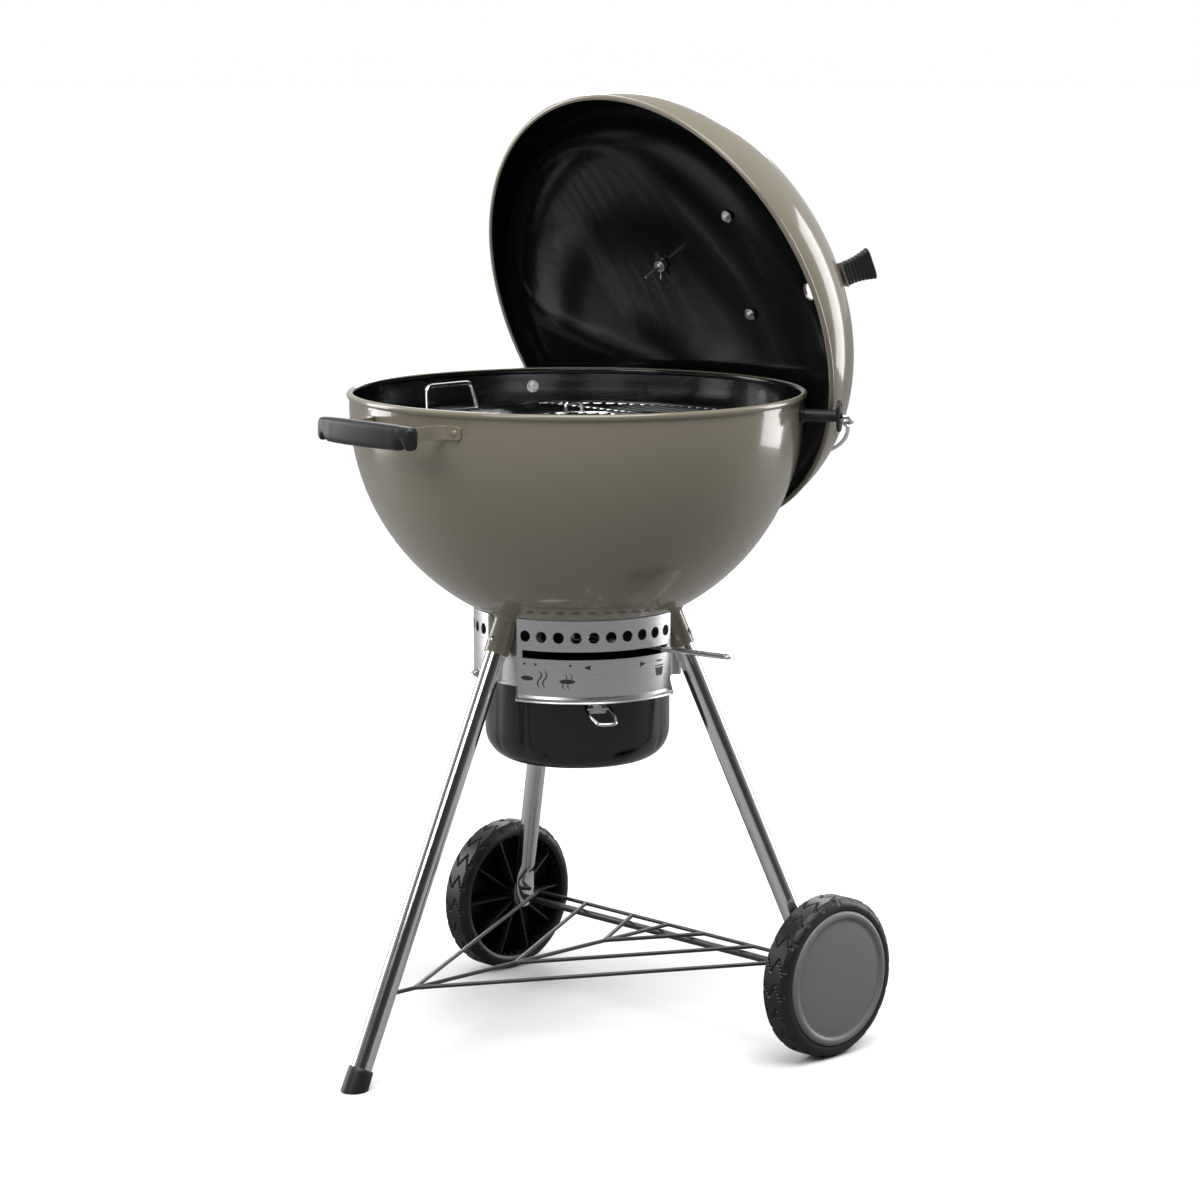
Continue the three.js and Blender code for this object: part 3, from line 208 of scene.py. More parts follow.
def brushed_group():
    """Fine lines drawn out round the bowl's axis."""
    group = bpy.data.node_groups.get("brushed lines")
    if group:
        return group
    group, given, out = new_group("brushed lines", [("Line density", 900), ("Line length", 3)], ["Lines"])
    nodes, links = group.nodes, group.links
    place = nodes.new("ShaderNodeTexCoord")
    parts = nodes.new("ShaderNodeSeparateXYZ")
    links.new(place.outputs["Object"], parts.inputs[0])
    shift = nodes.new("ShaderNodeMath")
    shift.operation = "SUBTRACT"
    shift.inputs[1].default_value = AXIS_X
    links.new(parts.outputs["X"], shift.inputs[0])
    turn = nodes.new("ShaderNodeMath")
    turn.operation = "ARCTAN2"
    links.new(parts.outputs["Y"], turn.inputs[0])
    links.new(shift.outputs[0], turn.inputs[1])
    length = nodes.new("ShaderNodeMath")
    length.operation = "MULTIPLY"
    links.new(turn.outputs[0], length.inputs[0])
    links.new(given.outputs["Line length"], length.inputs[1])
    dense = nodes.new("ShaderNodeMath")
    dense.operation = "MULTIPLY"
    links.new(parts.outputs["Z"], dense.inputs[0])
    links.new(given.outputs["Line density"], dense.inputs[1])
    vector = nodes.new("ShaderNodeCombineXYZ")
    links.new(length.outputs[0], vector.inputs["X"])
    links.new(dense.outputs[0], vector.inputs["Z"])
    cloud = nodes.new("ShaderNodeTexNoise")
    cloud.inputs["Scale"].default_value = 1
    cloud.inputs["Detail"].default_value = 3
    links.new(vector.outputs[0], cloud.inputs["Vector"])
    links.new(cloud.outputs["Fac"], out.inputs["Lines"])
    return group


def dust_group():
    """Mask that is stronger on faces turned up, broken by noise."""
    group = bpy.data.node_groups.get("settled dust")
    if group:
        return group
    group, given, out = new_group("settled dust", [("Amount", 0.3), ("Scale", 30)], ["Dust"])
    nodes, links = group.nodes, group.links
    surface = nodes.new("ShaderNodeNewGeometry")
    parts = nodes.new("ShaderNodeSeparateXYZ")
    links.new(surface.outputs["Normal"], parts.inputs[0])
    up = nodes.new("ShaderNodeMapRange")
    up.inputs["From Min"].default_value = 0.3
    up.inputs["From Max"].default_value = 1.0
    links.new(parts.outputs["Z"], up.inputs["Value"])
    place = nodes.new("ShaderNodeTexCoord")
    cloud = nodes.new("ShaderNodeTexNoise")
    cloud.inputs["Detail"].default_value = 5
    links.new(place.outputs["Object"], cloud.inputs["Vector"])
    links.new(given.outputs["Scale"], cloud.inputs["Scale"])
    both = nodes.new("ShaderNodeMath")
    both.operation = "MULTIPLY"
    links.new(up.outputs[0], both.inputs[0])
    links.new(cloud.outputs["Fac"], both.inputs[1])
    amount = nodes.new("ShaderNodeMath")
    amount.operation = "MULTIPLY"
    amount.use_clamp = True
    links.new(both.outputs[0], amount.inputs[0])
    links.new(given.outputs["Amount"], amount.inputs[1])
    links.new(amount.outputs[0], out.inputs["Dust"])
    return group


# ---------------------------------------------------------------- materials
def shaded(colour, factor):
    """Colour made lighter or darker, with full opacity."""
    return (*(min(1.0, c * factor) for c in colour), 1.0)


def finish(name, colour, rough, metal=0.0, patch=8, grain=400, spread=0.06, rough_spread=0.05, bump=0.0,
           coat=0.0, coat_rough=0.05, dust=0.0, lines=False, anisotropic=0.0):
    """A Principled material with uneven colour, roughness and surface from the shared groups."""
    found = bpy.data.materials.get(name)
    if found:
        return found
    material = bpy.data.materials.new(name)
    material.use_nodes = True
    nodes, links = material.node_tree.nodes, material.node_tree.links
    shader = nodes["Principled BSDF"]
    shader.inputs["Metallic"].default_value = metal
    shader.inputs["Coat Weight"].default_value = coat
    shader.inputs["Coat Roughness"].default_value = coat_rough
    shader.inputs["Anisotropic"].default_value = anisotropic
    mottle = nodes.new("ShaderNodeGroup")
    mottle.node_tree = mottle_group()
    mottle.inputs["Patch scale"].default_value = patch
    mottle.inputs["Grain scale"].default_value = grain
    mix = nodes.new("ShaderNodeMix")
    mix.data_type = "RGBA"
    mix.inputs[MIX_A].default_value = shaded(colour, 1 - spread)
    mix.inputs[MIX_B].default_value = shaded(colour, 1 + spread)
    links.new(mottle.outputs["Patches"], mix.inputs[0])
    colour_out = mix.outputs[MIX_RESULT]
    if dust:
        settled = nodes.new("ShaderNodeGroup")
        settled.node_tree = dust_group()
        settled.inputs["Amount"].default_value = dust
        over = nodes.new("ShaderNodeMix")
        over.data_type = "RGBA"
        over.inputs[MIX_B].default_value = (*DUST_COLOUR, 1)
        links.new(settled.outputs["Dust"], over.inputs[0])
        links.new(colour_out, over.inputs[MIX_A])
        colour_out = over.outputs[MIX_RESULT]
    links.new(colour_out, shader.inputs["Base Color"])
    source = mottle.outputs["Patches"]
    height = mottle.outputs["Grain"]
    if lines:
        brushed = nodes.new("ShaderNodeGroup")
        brushed.node_tree = brushed_group()
        source = height = brushed.outputs["Lines"]
    level = nodes.new("ShaderNodeMapRange")
    level.inputs["To Min"].default_value = max(0.02, rough - rough_spread)
    level.inputs["To Max"].default_value = rough + rough_spread
    links.new(source, level.inputs["Value"])
    links.new(level.outputs[0], shader.inputs["Roughness"])
    if bump:
        relief = nodes.new("ShaderNodeBump")
        relief.inputs["Strength"].default_value = bump
        relief.inputs["Distance"].default_value = 0.0004
        links.new(height, relief.inputs["Height"])
        links.new(relief.outputs[0], shader.inputs["Normal"])
    return material


def materials():
    """All finishes by name, from the user's colours."""
    c = bpy.context.scene.kettle_grill_colours
    return {
        "enamel": finish("smoke enamel", tuple(c.enamel), 0.16, patch=5, grain=260, spread=0.03,
                         rough_spread=0.03, bump=0.05, coat=0.5, coat_rough=0.04),
        "inside": finish("inside enamel", tuple(c.black_enamel), 0.12, patch=6, grain=200, spread=0.25,
                         bump=0.05, coat=0.1, coat_rough=0.04),
        "pot": finish("pot enamel", tuple(c.black_enamel), 0.14, patch=9, grain=240, spread=0.2,
                      bump=0.06, coat=0.15, dust=0.04),
        "nylon": finish("glass filled nylon", tuple(c.nylon), 0.42, patch=14, grain=1600, spread=0.15,
                        bump=0.25, dust=0.05),
        "hubcap": finish("hubcap plastic", tuple(c.hubcap), 0.42, patch=12, grain=1400, spread=0.04,
                         bump=0.15),
        "tyre": finish("tyre plastic", tuple(c.tyre), 0.38, patch=20, grain=900, spread=0.25, bump=0.2,
                       dust=0.03),
        "leg": finish("polished tube", (0.86, 0.865, 0.87), 0.13, metal=1, patch=10, grain=700, spread=0.03,
                      rough_spread=0.05, bump=0.02),
        "ring": finish("brushed aluminium", (0.70, 0.70, 0.715), 0.30, metal=1, patch=20, spread=0.05,
                       rough_spread=0.10, bump=0.22, lines=True, anisotropic=0.5),
        "wire": finish("plated wire", (0.80, 0.81, 0.82), 0.16, metal=1, patch=30, grain=900, spread=0.05,
                       bump=0.03),
        "steel": finish("grate steel", (0.36, 0.355, 0.35), 0.38, metal=1, patch=18, grain=700, spread=0.2,
                        rough_spread=0.12, bump=0.25),
        "zinc": finish("zinc plate", (0.62, 0.63, 0.64), 0.28, metal=1, patch=60, grain=900, spread=0.1,
                       bump=0.08),
        "black_wire": finish("coated wire", (0.03, 0.03, 0.031), 0.3, patch=30, grain=1200, spread=0.15,
                             bump=0.15, coat=0.2, dust=0.06),
        "mark": finish("printed mark", (0.045, 0.045, 0.047), 0.4, patch=60, grain=900, spread=0.1),
        "dial": finish("dial face", (0.75, 0.74, 0.70), 0.35, patch=30, grain=600, spread=0.03),
    }


# ---------------------------------------------------------------- mesh helpers, in millimetres
def polar(radius, degrees, z=0.0):
    """Point at a radius, azimuth and height."""
    return Vector((radius * math.cos(math.radians(degrees)), radius * math.sin(math.radians(degrees)), z))


def from_panel(turn):
    """Degrees from an azimuth to the middle of the nearest ring panel."""
    return min(abs((turn - middle + 180) % 360 - 180) for middle in PANELS.values())


def lid_frame():
    """Frame in the lid's mouth, local X up the lid and local Z out through its dome."""
    up = Vector((-math.sin(LID_TILT), 0, math.cos(LID_TILT)))
    axis = Vector((math.cos(LID_TILT), 0, math.sin(LID_TILT)))
    basis = Matrix((up, Vector((0, -1, 0)), axis)).transposed().to_4x4()
    return Matrix.Translation(LID_CENTRE) @ basis


def along(point, direction, side=None):
    """Frame at a point with local Z along the direction."""
    z = Vector(direction).normalized()
    x = Vector(side) if side is not None else z.orthogonal()
    x = (x - z * x.dot(z)).normalized()
    basis = Matrix((x, z.cross(x), z)).transposed().to_4x4()
    return Matrix.Translation(Vector(point)) @ basis


def turned_faces(steps, rows, closed=False):
    """Faces of a profile of so many points that is repeated at each step of a full turn."""
    faces = []
    for j in range(steps):
        k = (j + 1) % steps
        for i in range(rows if closed else rows - 1):
            n = (i + 1) % rows
            faces.append((j * rows + i, k * rows + i, k * rows + n, j * rows + n))
    return faces


class Shape:
    """Collects vertices and faces, with a material number on each face."""

    def __init__(self):
        self.verts, self.faces, self.paint = [], [], []

    def add(self, verts, faces, matrix=None, paint=None):
        base = len(self.verts)
        self.verts += [matrix @ Vector(v) if matrix else Vector(v) for v in verts]
        self.faces += [tuple(base + i for i in f) for f in faces]
        self.paint += paint or [0] * len(faces)
        return self

    def revolve(self, profile, steps=64, matrix=None, paint=None, closed=False):
        """Turns (radius, height) points round local Z; a paint list has one number per profile edge."""
        verts = [(r * math.cos(2 * PI * j / steps), r * math.sin(2 * PI * j / steps), z)
                 for j in range(steps) for r, z in profile]
        return self.add(verts, turned_faces(steps, len(profile), closed), matrix, paint and paint * steps)

    def loft(self, rings, closed=False, caps=True, matrix=None):
        """Joins rings of equally many points, one after another."""
        count = len(rings[0])
        faces = []
        for k in range(len(rings) if closed else len(rings) - 1):
            for i in range(count):
                a, b = k * count + i, k * count + (i + 1) % count
                after = (k + 1) % len(rings) * count
                faces.append((a, b, after + (i + 1) % count, after + i))
        if caps and not closed:
            faces.append(tuple(range(count - 1, -1, -1)))
            faces.append(tuple((len(rings) - 1) * count + i for i in range(count)))
        return self.add([v for ring in rings for v in ring], faces, matrix)

    def tube(self, points, radius, sides=12, closed=False):
        """Round wire along the points."""
        return self.loft(tube_rings(points, lambda t: (radius, radius), sides, closed), closed)

    def plate(self, outline, low, high, matrix=None, edge=0.0):
        """Flat plate with a small rounding round its edge."""
        points = [Vector((x, y)) for x, y in outline]
        levels = ((edge, low), (0, low + edge), (0, high - edge), (edge, high)) if edge else ((0, low),
                                                                                              (0, high))
        rings = [[(p.x, p.y, z) for p in inset_outline(points, inset)] for inset, z in levels]
        return self.loft(rings, matrix=matrix)


def inset_outline(points, amount):
    """Moves a closed outline, drawn anticlockwise, inwards."""
    if not amount:
        return points
    moved, count = [], len(points)
    for i, p in enumerate(points):
        before = (p - points[i - 1]).normalized()
        after = (points[(i + 1) % count] - p).normalized()
        n1, n2 = Vector((-before.y, before.x)), Vector((-after.y, after.x))
        mean = n1 + n2
        mean = mean.normalized() if mean.length > 1e-6 else n1
        moved.append(p + mean * (amount / max(0.4, mean.dot(n1))))
    return moved


def squared(value, power):
    """Sine or cosine with its size raised to a power; below 1 it squares off a round section."""
    return math.copysign(abs(value) ** power, value)


def tube_rings(points, size, sides=12, closed=False, power=2.0, up=None):
    """Rings of a round or squared-off section carried along the points without twisting."""
    pts = [Vector(p) for p in points]
    count = len(pts)
    rings = []
    normal = None
    for i, p in enumerate(pts):
        before = pts[(i - 1) % count] if closed or i else p
        after = pts[(i + 1) % count] if closed or i < count - 1 else p
        direction = (after - before).normalized()
        if up is not None:
            normal = Vector(up)
        elif normal is None:
            normal = direction.orthogonal()
        normal = (normal - direction * normal.dot(direction)).normalized()
        side = direction.cross(normal)
        wide, high = size(i / max(1, count - 1))
        ring = []
        for k in range(sides):
            a = 2 * PI * k / sides
            ring.append(p + side * (wide * squared(math.cos(a), 2 / power))
                        + normal * (high * squared(math.sin(a), 2 / power)))
        rings.append(ring)
    return rings


def bend_path(points, radius, steps=6):
    """Rounds the corners of a path of straight lengths."""
    pts = [Vector(p) for p in points]
    out = [pts[0]]
    for i in range(1, len(pts) - 1):
        p = pts[i]
        before, after = pts[i - 1] - p, pts[i + 1] - p
        reach = min(radius, before.length * 0.48, after.length * 0.48)
        a, b = p + before.normalized() * reach, p + after.normalized() * reach
        for k in range(steps + 1):
            t = k / steps
            out.append(a * (1 - t) ** 2 + p * (2 * t * (1 - t)) + b * t ** 2)
    return out + [pts[-1]]


def arc_points(cx, cy, r, start, end, steps):
    """Points along a flat arc, from one angle to another in degrees."""
    return [(cx + r * math.cos(math.radians(start + (end - start) * i / steps)),
             cy + r * math.sin(math.radians(start + (end - start) * i / steps))) for i in range(steps + 1)]


def solid_mesh(name, shape):
    """Mesh of a shape in the frame's metres."""
    mesh = bpy.data.meshes.new(name)
    mesh.from_pydata([(v.x / 1000 + AXIS_X, v.y / 1000, v.z / 1000) for v in shape.verts], [], shape.faces)
    mesh.polygons.foreach_set("material_index", shape.paint)
    return mesh


def weld(mesh, slivers):
    """Joins points that meet, drops slivers where asked, and turns all faces outwards."""
    work = bmesh.new()
    work.from_mesh(mesh)
    bmesh.ops.remove_doubles(work, verts=work.verts, dist=WELD / 1000)
    if slivers:
        bmesh.ops.dissolve_degenerate(work, edges=work.edges, dist=WELD / 2000)
    bmesh.ops.recalc_face_normals(work, faces=work.faces)
    work.to_mesh(mesh)
    work.free()


def piece(name, shape, body, nodes, paints, sharp=35, bevel=0.0):
    """Makes the object, rides it on its body and lets it stand for its CAD nodes."""
    mesh = solid_mesh(name, shape)
    finishes = materials()
    for paint in paints:
        mesh.materials.append(finishes[paint])
    weld(mesh, True)
    mesh.shade_smooth()
    mesh.set_sharp_from_angle(angle=math.radians(sharp))
    obj = bpy.data.objects.new(name, mesh)
    bpy.context.scene.collection.objects.link(obj)
    if bevel:
        round_off = obj.modifiers.new("rounded edges", "BEVEL")
        round_off.width = bevel / 1000
        round_off.segments = 2
        round_off.limit_method = "ANGLE"
        round_off.angle_limit = math.radians(40)
        round_off.harden_normals = False
    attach(obj, body)
    if nodes:
        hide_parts(*nodes)
    return obj


def cut(obj, cutter):
    """Takes the cutter shape out of the object's mesh."""
    mesh = solid_mesh("cutter", cutter)
    weld(mesh, False)
    tool = bpy.data.objects.new("cutter", mesh)
    bpy.context.scene.collection.objects.link(tool)
    hole = obj.modifiers.new("holes", "BOOLEAN")
    hole.operation = "DIFFERENCE"
    hole.solver = "EXACT"
    hole.object = tool
    bpy.context.view_layer.update()
    done = bpy.data.meshes.new_from_object(obj.evaluated_get(bpy.context.evaluated_depsgraph_get()))
    obj.modifiers.remove(hole)
    old = obj.data
    obj.data = done
    bpy.data.meshes.remove(old)
    bpy.data.objects.remove(tool)
    bpy.data.meshes.remove(mesh)


def true_normals(obj, normal_at):
    """Gives corners on a smooth surface that surface's own normal, so cut holes don't dent the shine."""
    mesh = obj.data
    normals = []
    for poly in mesh.polygons:
        for loop in poly.loop_indices:
            co = mesh.vertices[mesh.loops[loop].vertex_index].co
            wanted = normal_at(Vector(((co.x - AXIS_X) * 1000, co.y * 1000, co.z * 1000)))
            fit = wanted.dot(poly.normal) if wanted else 0
            if fit > 0.8:
                normals.append(wanted)
            elif fit < -0.8:
                normals.append(-wanted)
            else:
                normals.append(poly.normal.copy())
    mesh.normals_split_custom_set([tuple(n) for n in normals])


def hexagon(radius, low, high, matrix, shape):
    """Adds a six-sided nut to the shape."""
    corners = [(radius * math.cos(PI / 3 * i), radius * math.sin(PI / 3 * i)) for i in range(6)]
    shape.plate(corners, low, high, matrix, edge=0.5)


def sizes():
    return bpy.context.scene.kettle_grill_sizes


# ---------------------------------------------------------------- bowl and its handle
def build_bowl():
    s = sizes()
    radius = s.bowl_radius
    inner = radius - SHEET
    angles = [3 * k - 90 for k in range(1, 31)]

    def wall(reach, turns):
        return [(reach * math.cos(math.radians(a)), BOWL_CENTRE_Z + reach * math.sin(math.radians(a)))
                for a in turns]
    outside = [(0.001, BOWL_CENTRE_Z - radius)] + wall(radius, angles)
    bead = arc_points(radius - 1, RIM_Z - BEAD, BEAD, -76, 256, 14)
    inside = wall(inner, reversed(angles)) + [(0.001, BOWL_CENTRE_Z - inner)]
    paint = [0] * (len(outside) + 9) + [1] * (len(bead) + len(inside) - 10)
    shape = Shape().revolve(outside + bead + inside, s.round_steps, paint=paint)
    bowl = piece("bowl_shell", shape, "stand", ["bowl"], ["enamel", "inside"], sharp=60)
    vent = arc_points(92, 0, 13, -90, 90, 10) + arc_points(52, 0, 9, 90, 270, 10)
    cutter = Shape()
    for turn in range(3):
        cutter.plate(vent, 500, 600, Matrix.Rotation(math.radians(LEVER_AZ + 120 * turn), 4, "Z"))
    cut(bowl, cutter)

    def normal_at(p):
        flat = Vector((p.x, p.y, 0))
        if p.z > RIM_Z - 2 * BEAD - 0.4:
            ring = flat.normalized() * (radius - 1) + Vector((0, 0, RIM_Z - BEAD))
            return (p - ring).normalized()
        if p.z > BOWL_CENTRE_Z:
            return flat.normalized()
        return (p - Vector((0, 0, BOWL_CENTRE_Z))).normalized()
    true_normals(bowl, normal_at)


def build_bowl_handle():
    radius = sizes().bowl_radius
    bars = Shape()

    def on_bowl(y, out):
        return Vector((-math.sqrt((radius + out) ** 2 - y * y), y, 0))
    for sign in (1, -1):
        lugs = [on_bowl(sign * y, 1.7) for y in (86, 80, 74, 69)]
        lugs += [on_bowl(sign * 64, 2.0) + Vector((-1.5, 0, 0)), Vector((-290, sign * 59.5, 0)),
                 Vector((-342.5, sign * 57, 0)), Vector((-342.5, sign * 45, 0))]
        path = bend_path(lugs, 7, 5)
        rings = []
        for i, p in enumerate(path):
            before, after = path[max(0, i - 1)], path[min(len(path) - 1, i + 1)]
            d = (after - before).normalized()
            n = Vector((-d.y, d.x, 0))
            reach = 8.5 if i > 1 else 6.0 + 1.2 * i
            rings.append([p + n * t + Vector((0, 0, STRAP_Z + z))
                          for t, z in ((-1.25, -reach), (1.25, -reach), (1.25, reach), (-1.25, reach))])
        bars.loft(rings)
        spot = on_bowl(sign * 78, 3.2) + Vector((0, 0, STRAP_Z))
        out = Vector((spot.x, spot.y, 0)).normalized()
        bars.revolve([(0.01, 2.0), (1.6, 1.8), (3.2, 1.0), (4.0, 0), (4.0, -0.6)], 20, along(spot, out))
    piece("bowl_handle_bracket", bars, "stand", ["bowl_handle_strap"], ["enamel"], sharp=30,
          bevel=0.5)

    rings = []
    count = 56
    for k in range(count + 1):
        y = -GRIP_HALF + 2 * GRIP_HALF * k / count
        t = abs(y) / GRIP_HALF
        end = math.sqrt(max(0.0, 1 - ((t - 0.93) / 0.072) ** 2)) if t > 0.93 else 1
        front, back = -357 + 6.5 * t ** 2.2, -336 + 1.5 * t
        low, high = 781.5 + 1.5 * t ** 3, 812 - 2.0 * t ** 3
        for notch, half, deep in ((-69, 7, 11.5), (72, 6, 7)):
            if abs(y - notch) < half:
                low += deep * math.cos((y - notch) / half * PI / 2)
        rib = 0.35 * math.exp(-((abs(y) - 56) / 2.0) ** 2)
        wide, tall = (back - front) / 2 * max(end, 0.12), (high - low) / 2 * (0.55 + 0.45 * end)
        ring = []
        for i in range(28):
            c, q = math.cos(2 * PI * i / 28), math.sin(2 * PI * i / 28)
            x = (front + back) / 2 + squared(c, 0.62) * wide - (rib if c < -0.2 else 0)
            ring.append((x, y, (low + high) / 2 + squared(q, 0.55) * tall))
        rings.append(ring)
    piece("bowl_grip", Shape().loft(rings), "stand", ["bowl_handle_grip"], ["nylon"], sharp=50)


# ---------------------------------------------------------------- legs
def leg_line(name):
    """Top and foot of a leg's middle line."""
    if name == "capped":
        return Vector((-LEG_TOP_R, 0, LEG_TOP_Z)), Vector((-(LEG_TOP_R + LEG_TOP_Z * CAP_SLOPE), 0, 0))
    sign = -1 if name == "near" else 1
    return polar(LEG_TOP_R, sign * 60, LEG_TOP_Z), Vector((WHEEL_FOOT.x, sign * WHEEL_FOOT.y, WHEEL_FOOT.z))


def leg_at(name, z):
    top, foot = leg_line(name)
    return top.lerp(foot, (top.z - z) / (top.z - foot.z))


def build_sockets():
    s = sizes()
    steps = 40
    angles = [2 * PI * k / steps for k in range(steps)]
    for name in ("capped", "near", "far"):
        top, foot = leg_line(name)
        down = (foot - top).normalized()
        low = leg_at(name, SOCKET_END_Z)
        turned = along(low, -down).to_3x3()
        x_axis, y_axis = turned.col[0], turned.col[1]

        def around(radius, angle):
            return low + x_axis * (radius * math.cos(angle)) + y_axis * (radius * math.sin(angle))

        def up_to_bowl(radius, angle, lift):
            start = around(radius, angle)
            rel = start - Vector((0, 0, BOWL_CENTRE_Z))
            b, c = rel.dot(-down), rel.length_squared - (s.bowl_radius + lift) ** 2
            return start - down * (-b - math.sqrt(max(0, b * b - c)))
        rings = [[around(radius, a) - down * up for a in angles]
                 for radius, up in ((12.95, 6), (12.95, 0), (15.2, 0.6), (15.4, 1.6))]
        rings += [[up_to_bowl(radius, a, lift) for a in angles]
                  for radius, lift in ((15.4, 6), (16.6, 2.2), (19.5, 0.1))]
        piece(f"leg_socket_cup_{name}", Shape().loft(rings, caps=False), "stand", [f"leg_socket_{name}"],
              ["enamel"], sharp=50)
        outward = Vector((top.x, top.y, 0)).normalized()
        outward = (outward - down * outward.dot(down)).normalized()
        head = [(0.01, 2.6), (1.2, 2.55), (1.3, 1.4), (1.9, 1.5), (2.0, 2.4), (3.4, 1.9), (4.4, 0.9),
                (4.8, 0),
                (4.8, -0.8)]
        screw = Shape().revolve(head, 24, along(leg_at(name, SOCKET_SCREW_Z) + outward * 15.3, outward))
        piece(f"leg_screw_{name}", screw, "stand", [f"socket_screw_{name}"], ["zinc"])


def build_legs():
    r = sizes().tube_radius
    top, _ = leg_line("capped")
    tube = tube_rings([top, leg_at("capped", CAP_LEG_END_Z)], lambda t: (r, r), 48)
    piece("capped_leg_tube", Shape().loft(tube), "stand", ["leg_capped"], ["leg"])
    for name, sign in (("near", -1), ("far", 1)):
        piece(f"wheel_leg_tube_{name}", wheel_leg(name, sign, r), "stand", [f"leg_{name}"],
              ["leg"],
              sharp=45)
    build_foot_cap()


def wheel_leg(name, sign, r):
    """Round tube whose lower end is pressed flat, bent upright and rounded over the axle."""
    top, foot = leg_line(name)
    down = (foot - top).normalized()
    x_axis = Vector((1, 0, 0))
    rings = tube_rings([top, top.lerp(foot, 0.5), foot - down * 10], lambda t: (r, r), 48, up=x_axis)
    across, other = x_axis - down * down.x, down.cross(x_axis).normalized()
    section = [(max(-1, min(1, (p - top).dot(across) / r)), max(-1, min(1, (p - top).dot(other) / r)))
               for p in rings[0]]
    start, bend, end = foot - down * 10, foot + down * 18, Vector((AXLE_X, sign * LEG_LUG_Y, AXLE_Z))
    steps = 18
    for k in range(1, steps + 1):
        t = k / steps
        middle = start * (1 - t) ** 2 + bend * (2 * t * (1 - t)) + end * t ** 2
        press = min(1, max(0, (t - 0.12) / 0.45))
        press = press * press * (3 - 2 * press)
        half_y = r + (2.5 - r) * press
        half_x = r * (1 + 0.22 * press)
        if t > 0.8:
            half_x *= 1 - 0.25 * ((t - 0.8) / 0.2) ** 2
        direction = ((bend - start) * (1 - t) + (end - bend) * t).normalized()
        y_dir = direction.cross(x_axis).normalized()
        x_dir = y_dir.cross(direction)
        power = 1 - 0.35 * press
        rings.append([middle + x_dir * (squared(ca, power) * half_x) + y_dir * (squared(sa, power) * half_y)
                      for ca, sa in section])
    last = rings[-1]
    mid = sum((Vector(p) for p in last), Vector()) / len(last)
    for drop, shrink in ((4, 0.9), (8, 0.7), (10.5, 0.4)):
        rings.append([mid + Vector(((p.x - mid.x) * shrink, (p.y - mid.y) * 0.95, (p.z - mid.z) - drop))
                      for p in last])
    return Shape().loft(rings)


def build_foot_cap():
    top, foot = leg_line("capped")
    down = (foot - top).normalized()
    end = leg_at("capped", CAP_LEG_END_Z)
    above_floor = 0.9
    rings = []
    for radius, drop in ((13.0, -16.6), (14.6, -17), (15.3, -16.2), (15.6, -12), (15.9, -2), (16.0, 6),
                         (16.0, 30)):
        m = along(end + down * drop, down, (0, 1, 0))
        ring = []
        for k in range(48):
            a = 2 * PI * k / 48
            p = m @ Vector((radius * math.cos(a), radius * math.sin(a), 0))
            if p.z < above_floor:
                p -= down * ((above_floor - p.z) / -down.z)
            ring.append(p)
        rings.append(ring)
    middle = sum((Vector(p) for p in rings[-1]), Vector()) / 48
    rings.append([Vector((middle.x + (p.x - middle.x) * 0.96, p.y * 0.96, 0.0)) for p in rings[-1]])
    piece("foot_cap_boot", Shape().loft(rings), "stand", ["foot_cap"], ["nylon"], sharp=40)


# ---------------------------------------------------------------- axle, brackets and wheels
def build_axle():
    length = 2 * AXLE_HALF
    rod = [(0.01, 0), (4.2, 0), (4.8, 0.6), (4.8, length - 0.6), (4.2, length), (0.01, length)]
    shape = Shape().revolve(rod, 32, along((AXLE_X, -AXLE_HALF, AXLE_Z), (0, 1, 0)))
    piece("axle_rod", shape, "stand", ["axle"], ["black_wire"])
    for name, sign in (("near", -1), ("far", 1)):
        outline = arc_points(0, 0, 14, 180, 360, 14) + [(15, 10), (9.5, 25), (-9.5, 25), (-15, 10)]
        m = Matrix(((1, 0, 0, AXLE_X), (0, 0, -sign, sign * BRACKET_Y), (0, 1, 0, AXLE_Z), (0, 0, 0, 1)))
        plate = Shape().plate(outline, -2.5, 2.5, m, edge=0.8)
        plate.revolve([(5.2, 2.5), (10, 2.5), (10.6, 3.0), (10.6, 3.6), (9.6, 4.0), (5.2, 4.0)], 32,
                      along((AXLE_X, sign * BRACKET_Y, AXLE_Z), (0, -sign, 0)))
        piece(f"axle_bracket_plate_{name}", plate, "stand", [f"axle_bracket_{name}"], ["hubcap"])
        nut = Shape().revolve([(5.2, 0), (8, 0), (8, 2), (6, 2.2), (5.2, 2)], 24,
                              along((AXLE_X, sign * (AXLE_HALF - 2.1), AXLE_Z), (0, sign, 0)), closed=True)
        piece(f"axle_push_nut_{name}", nut, "stand", [f"axle_nut_{name}"], ["zinc"])


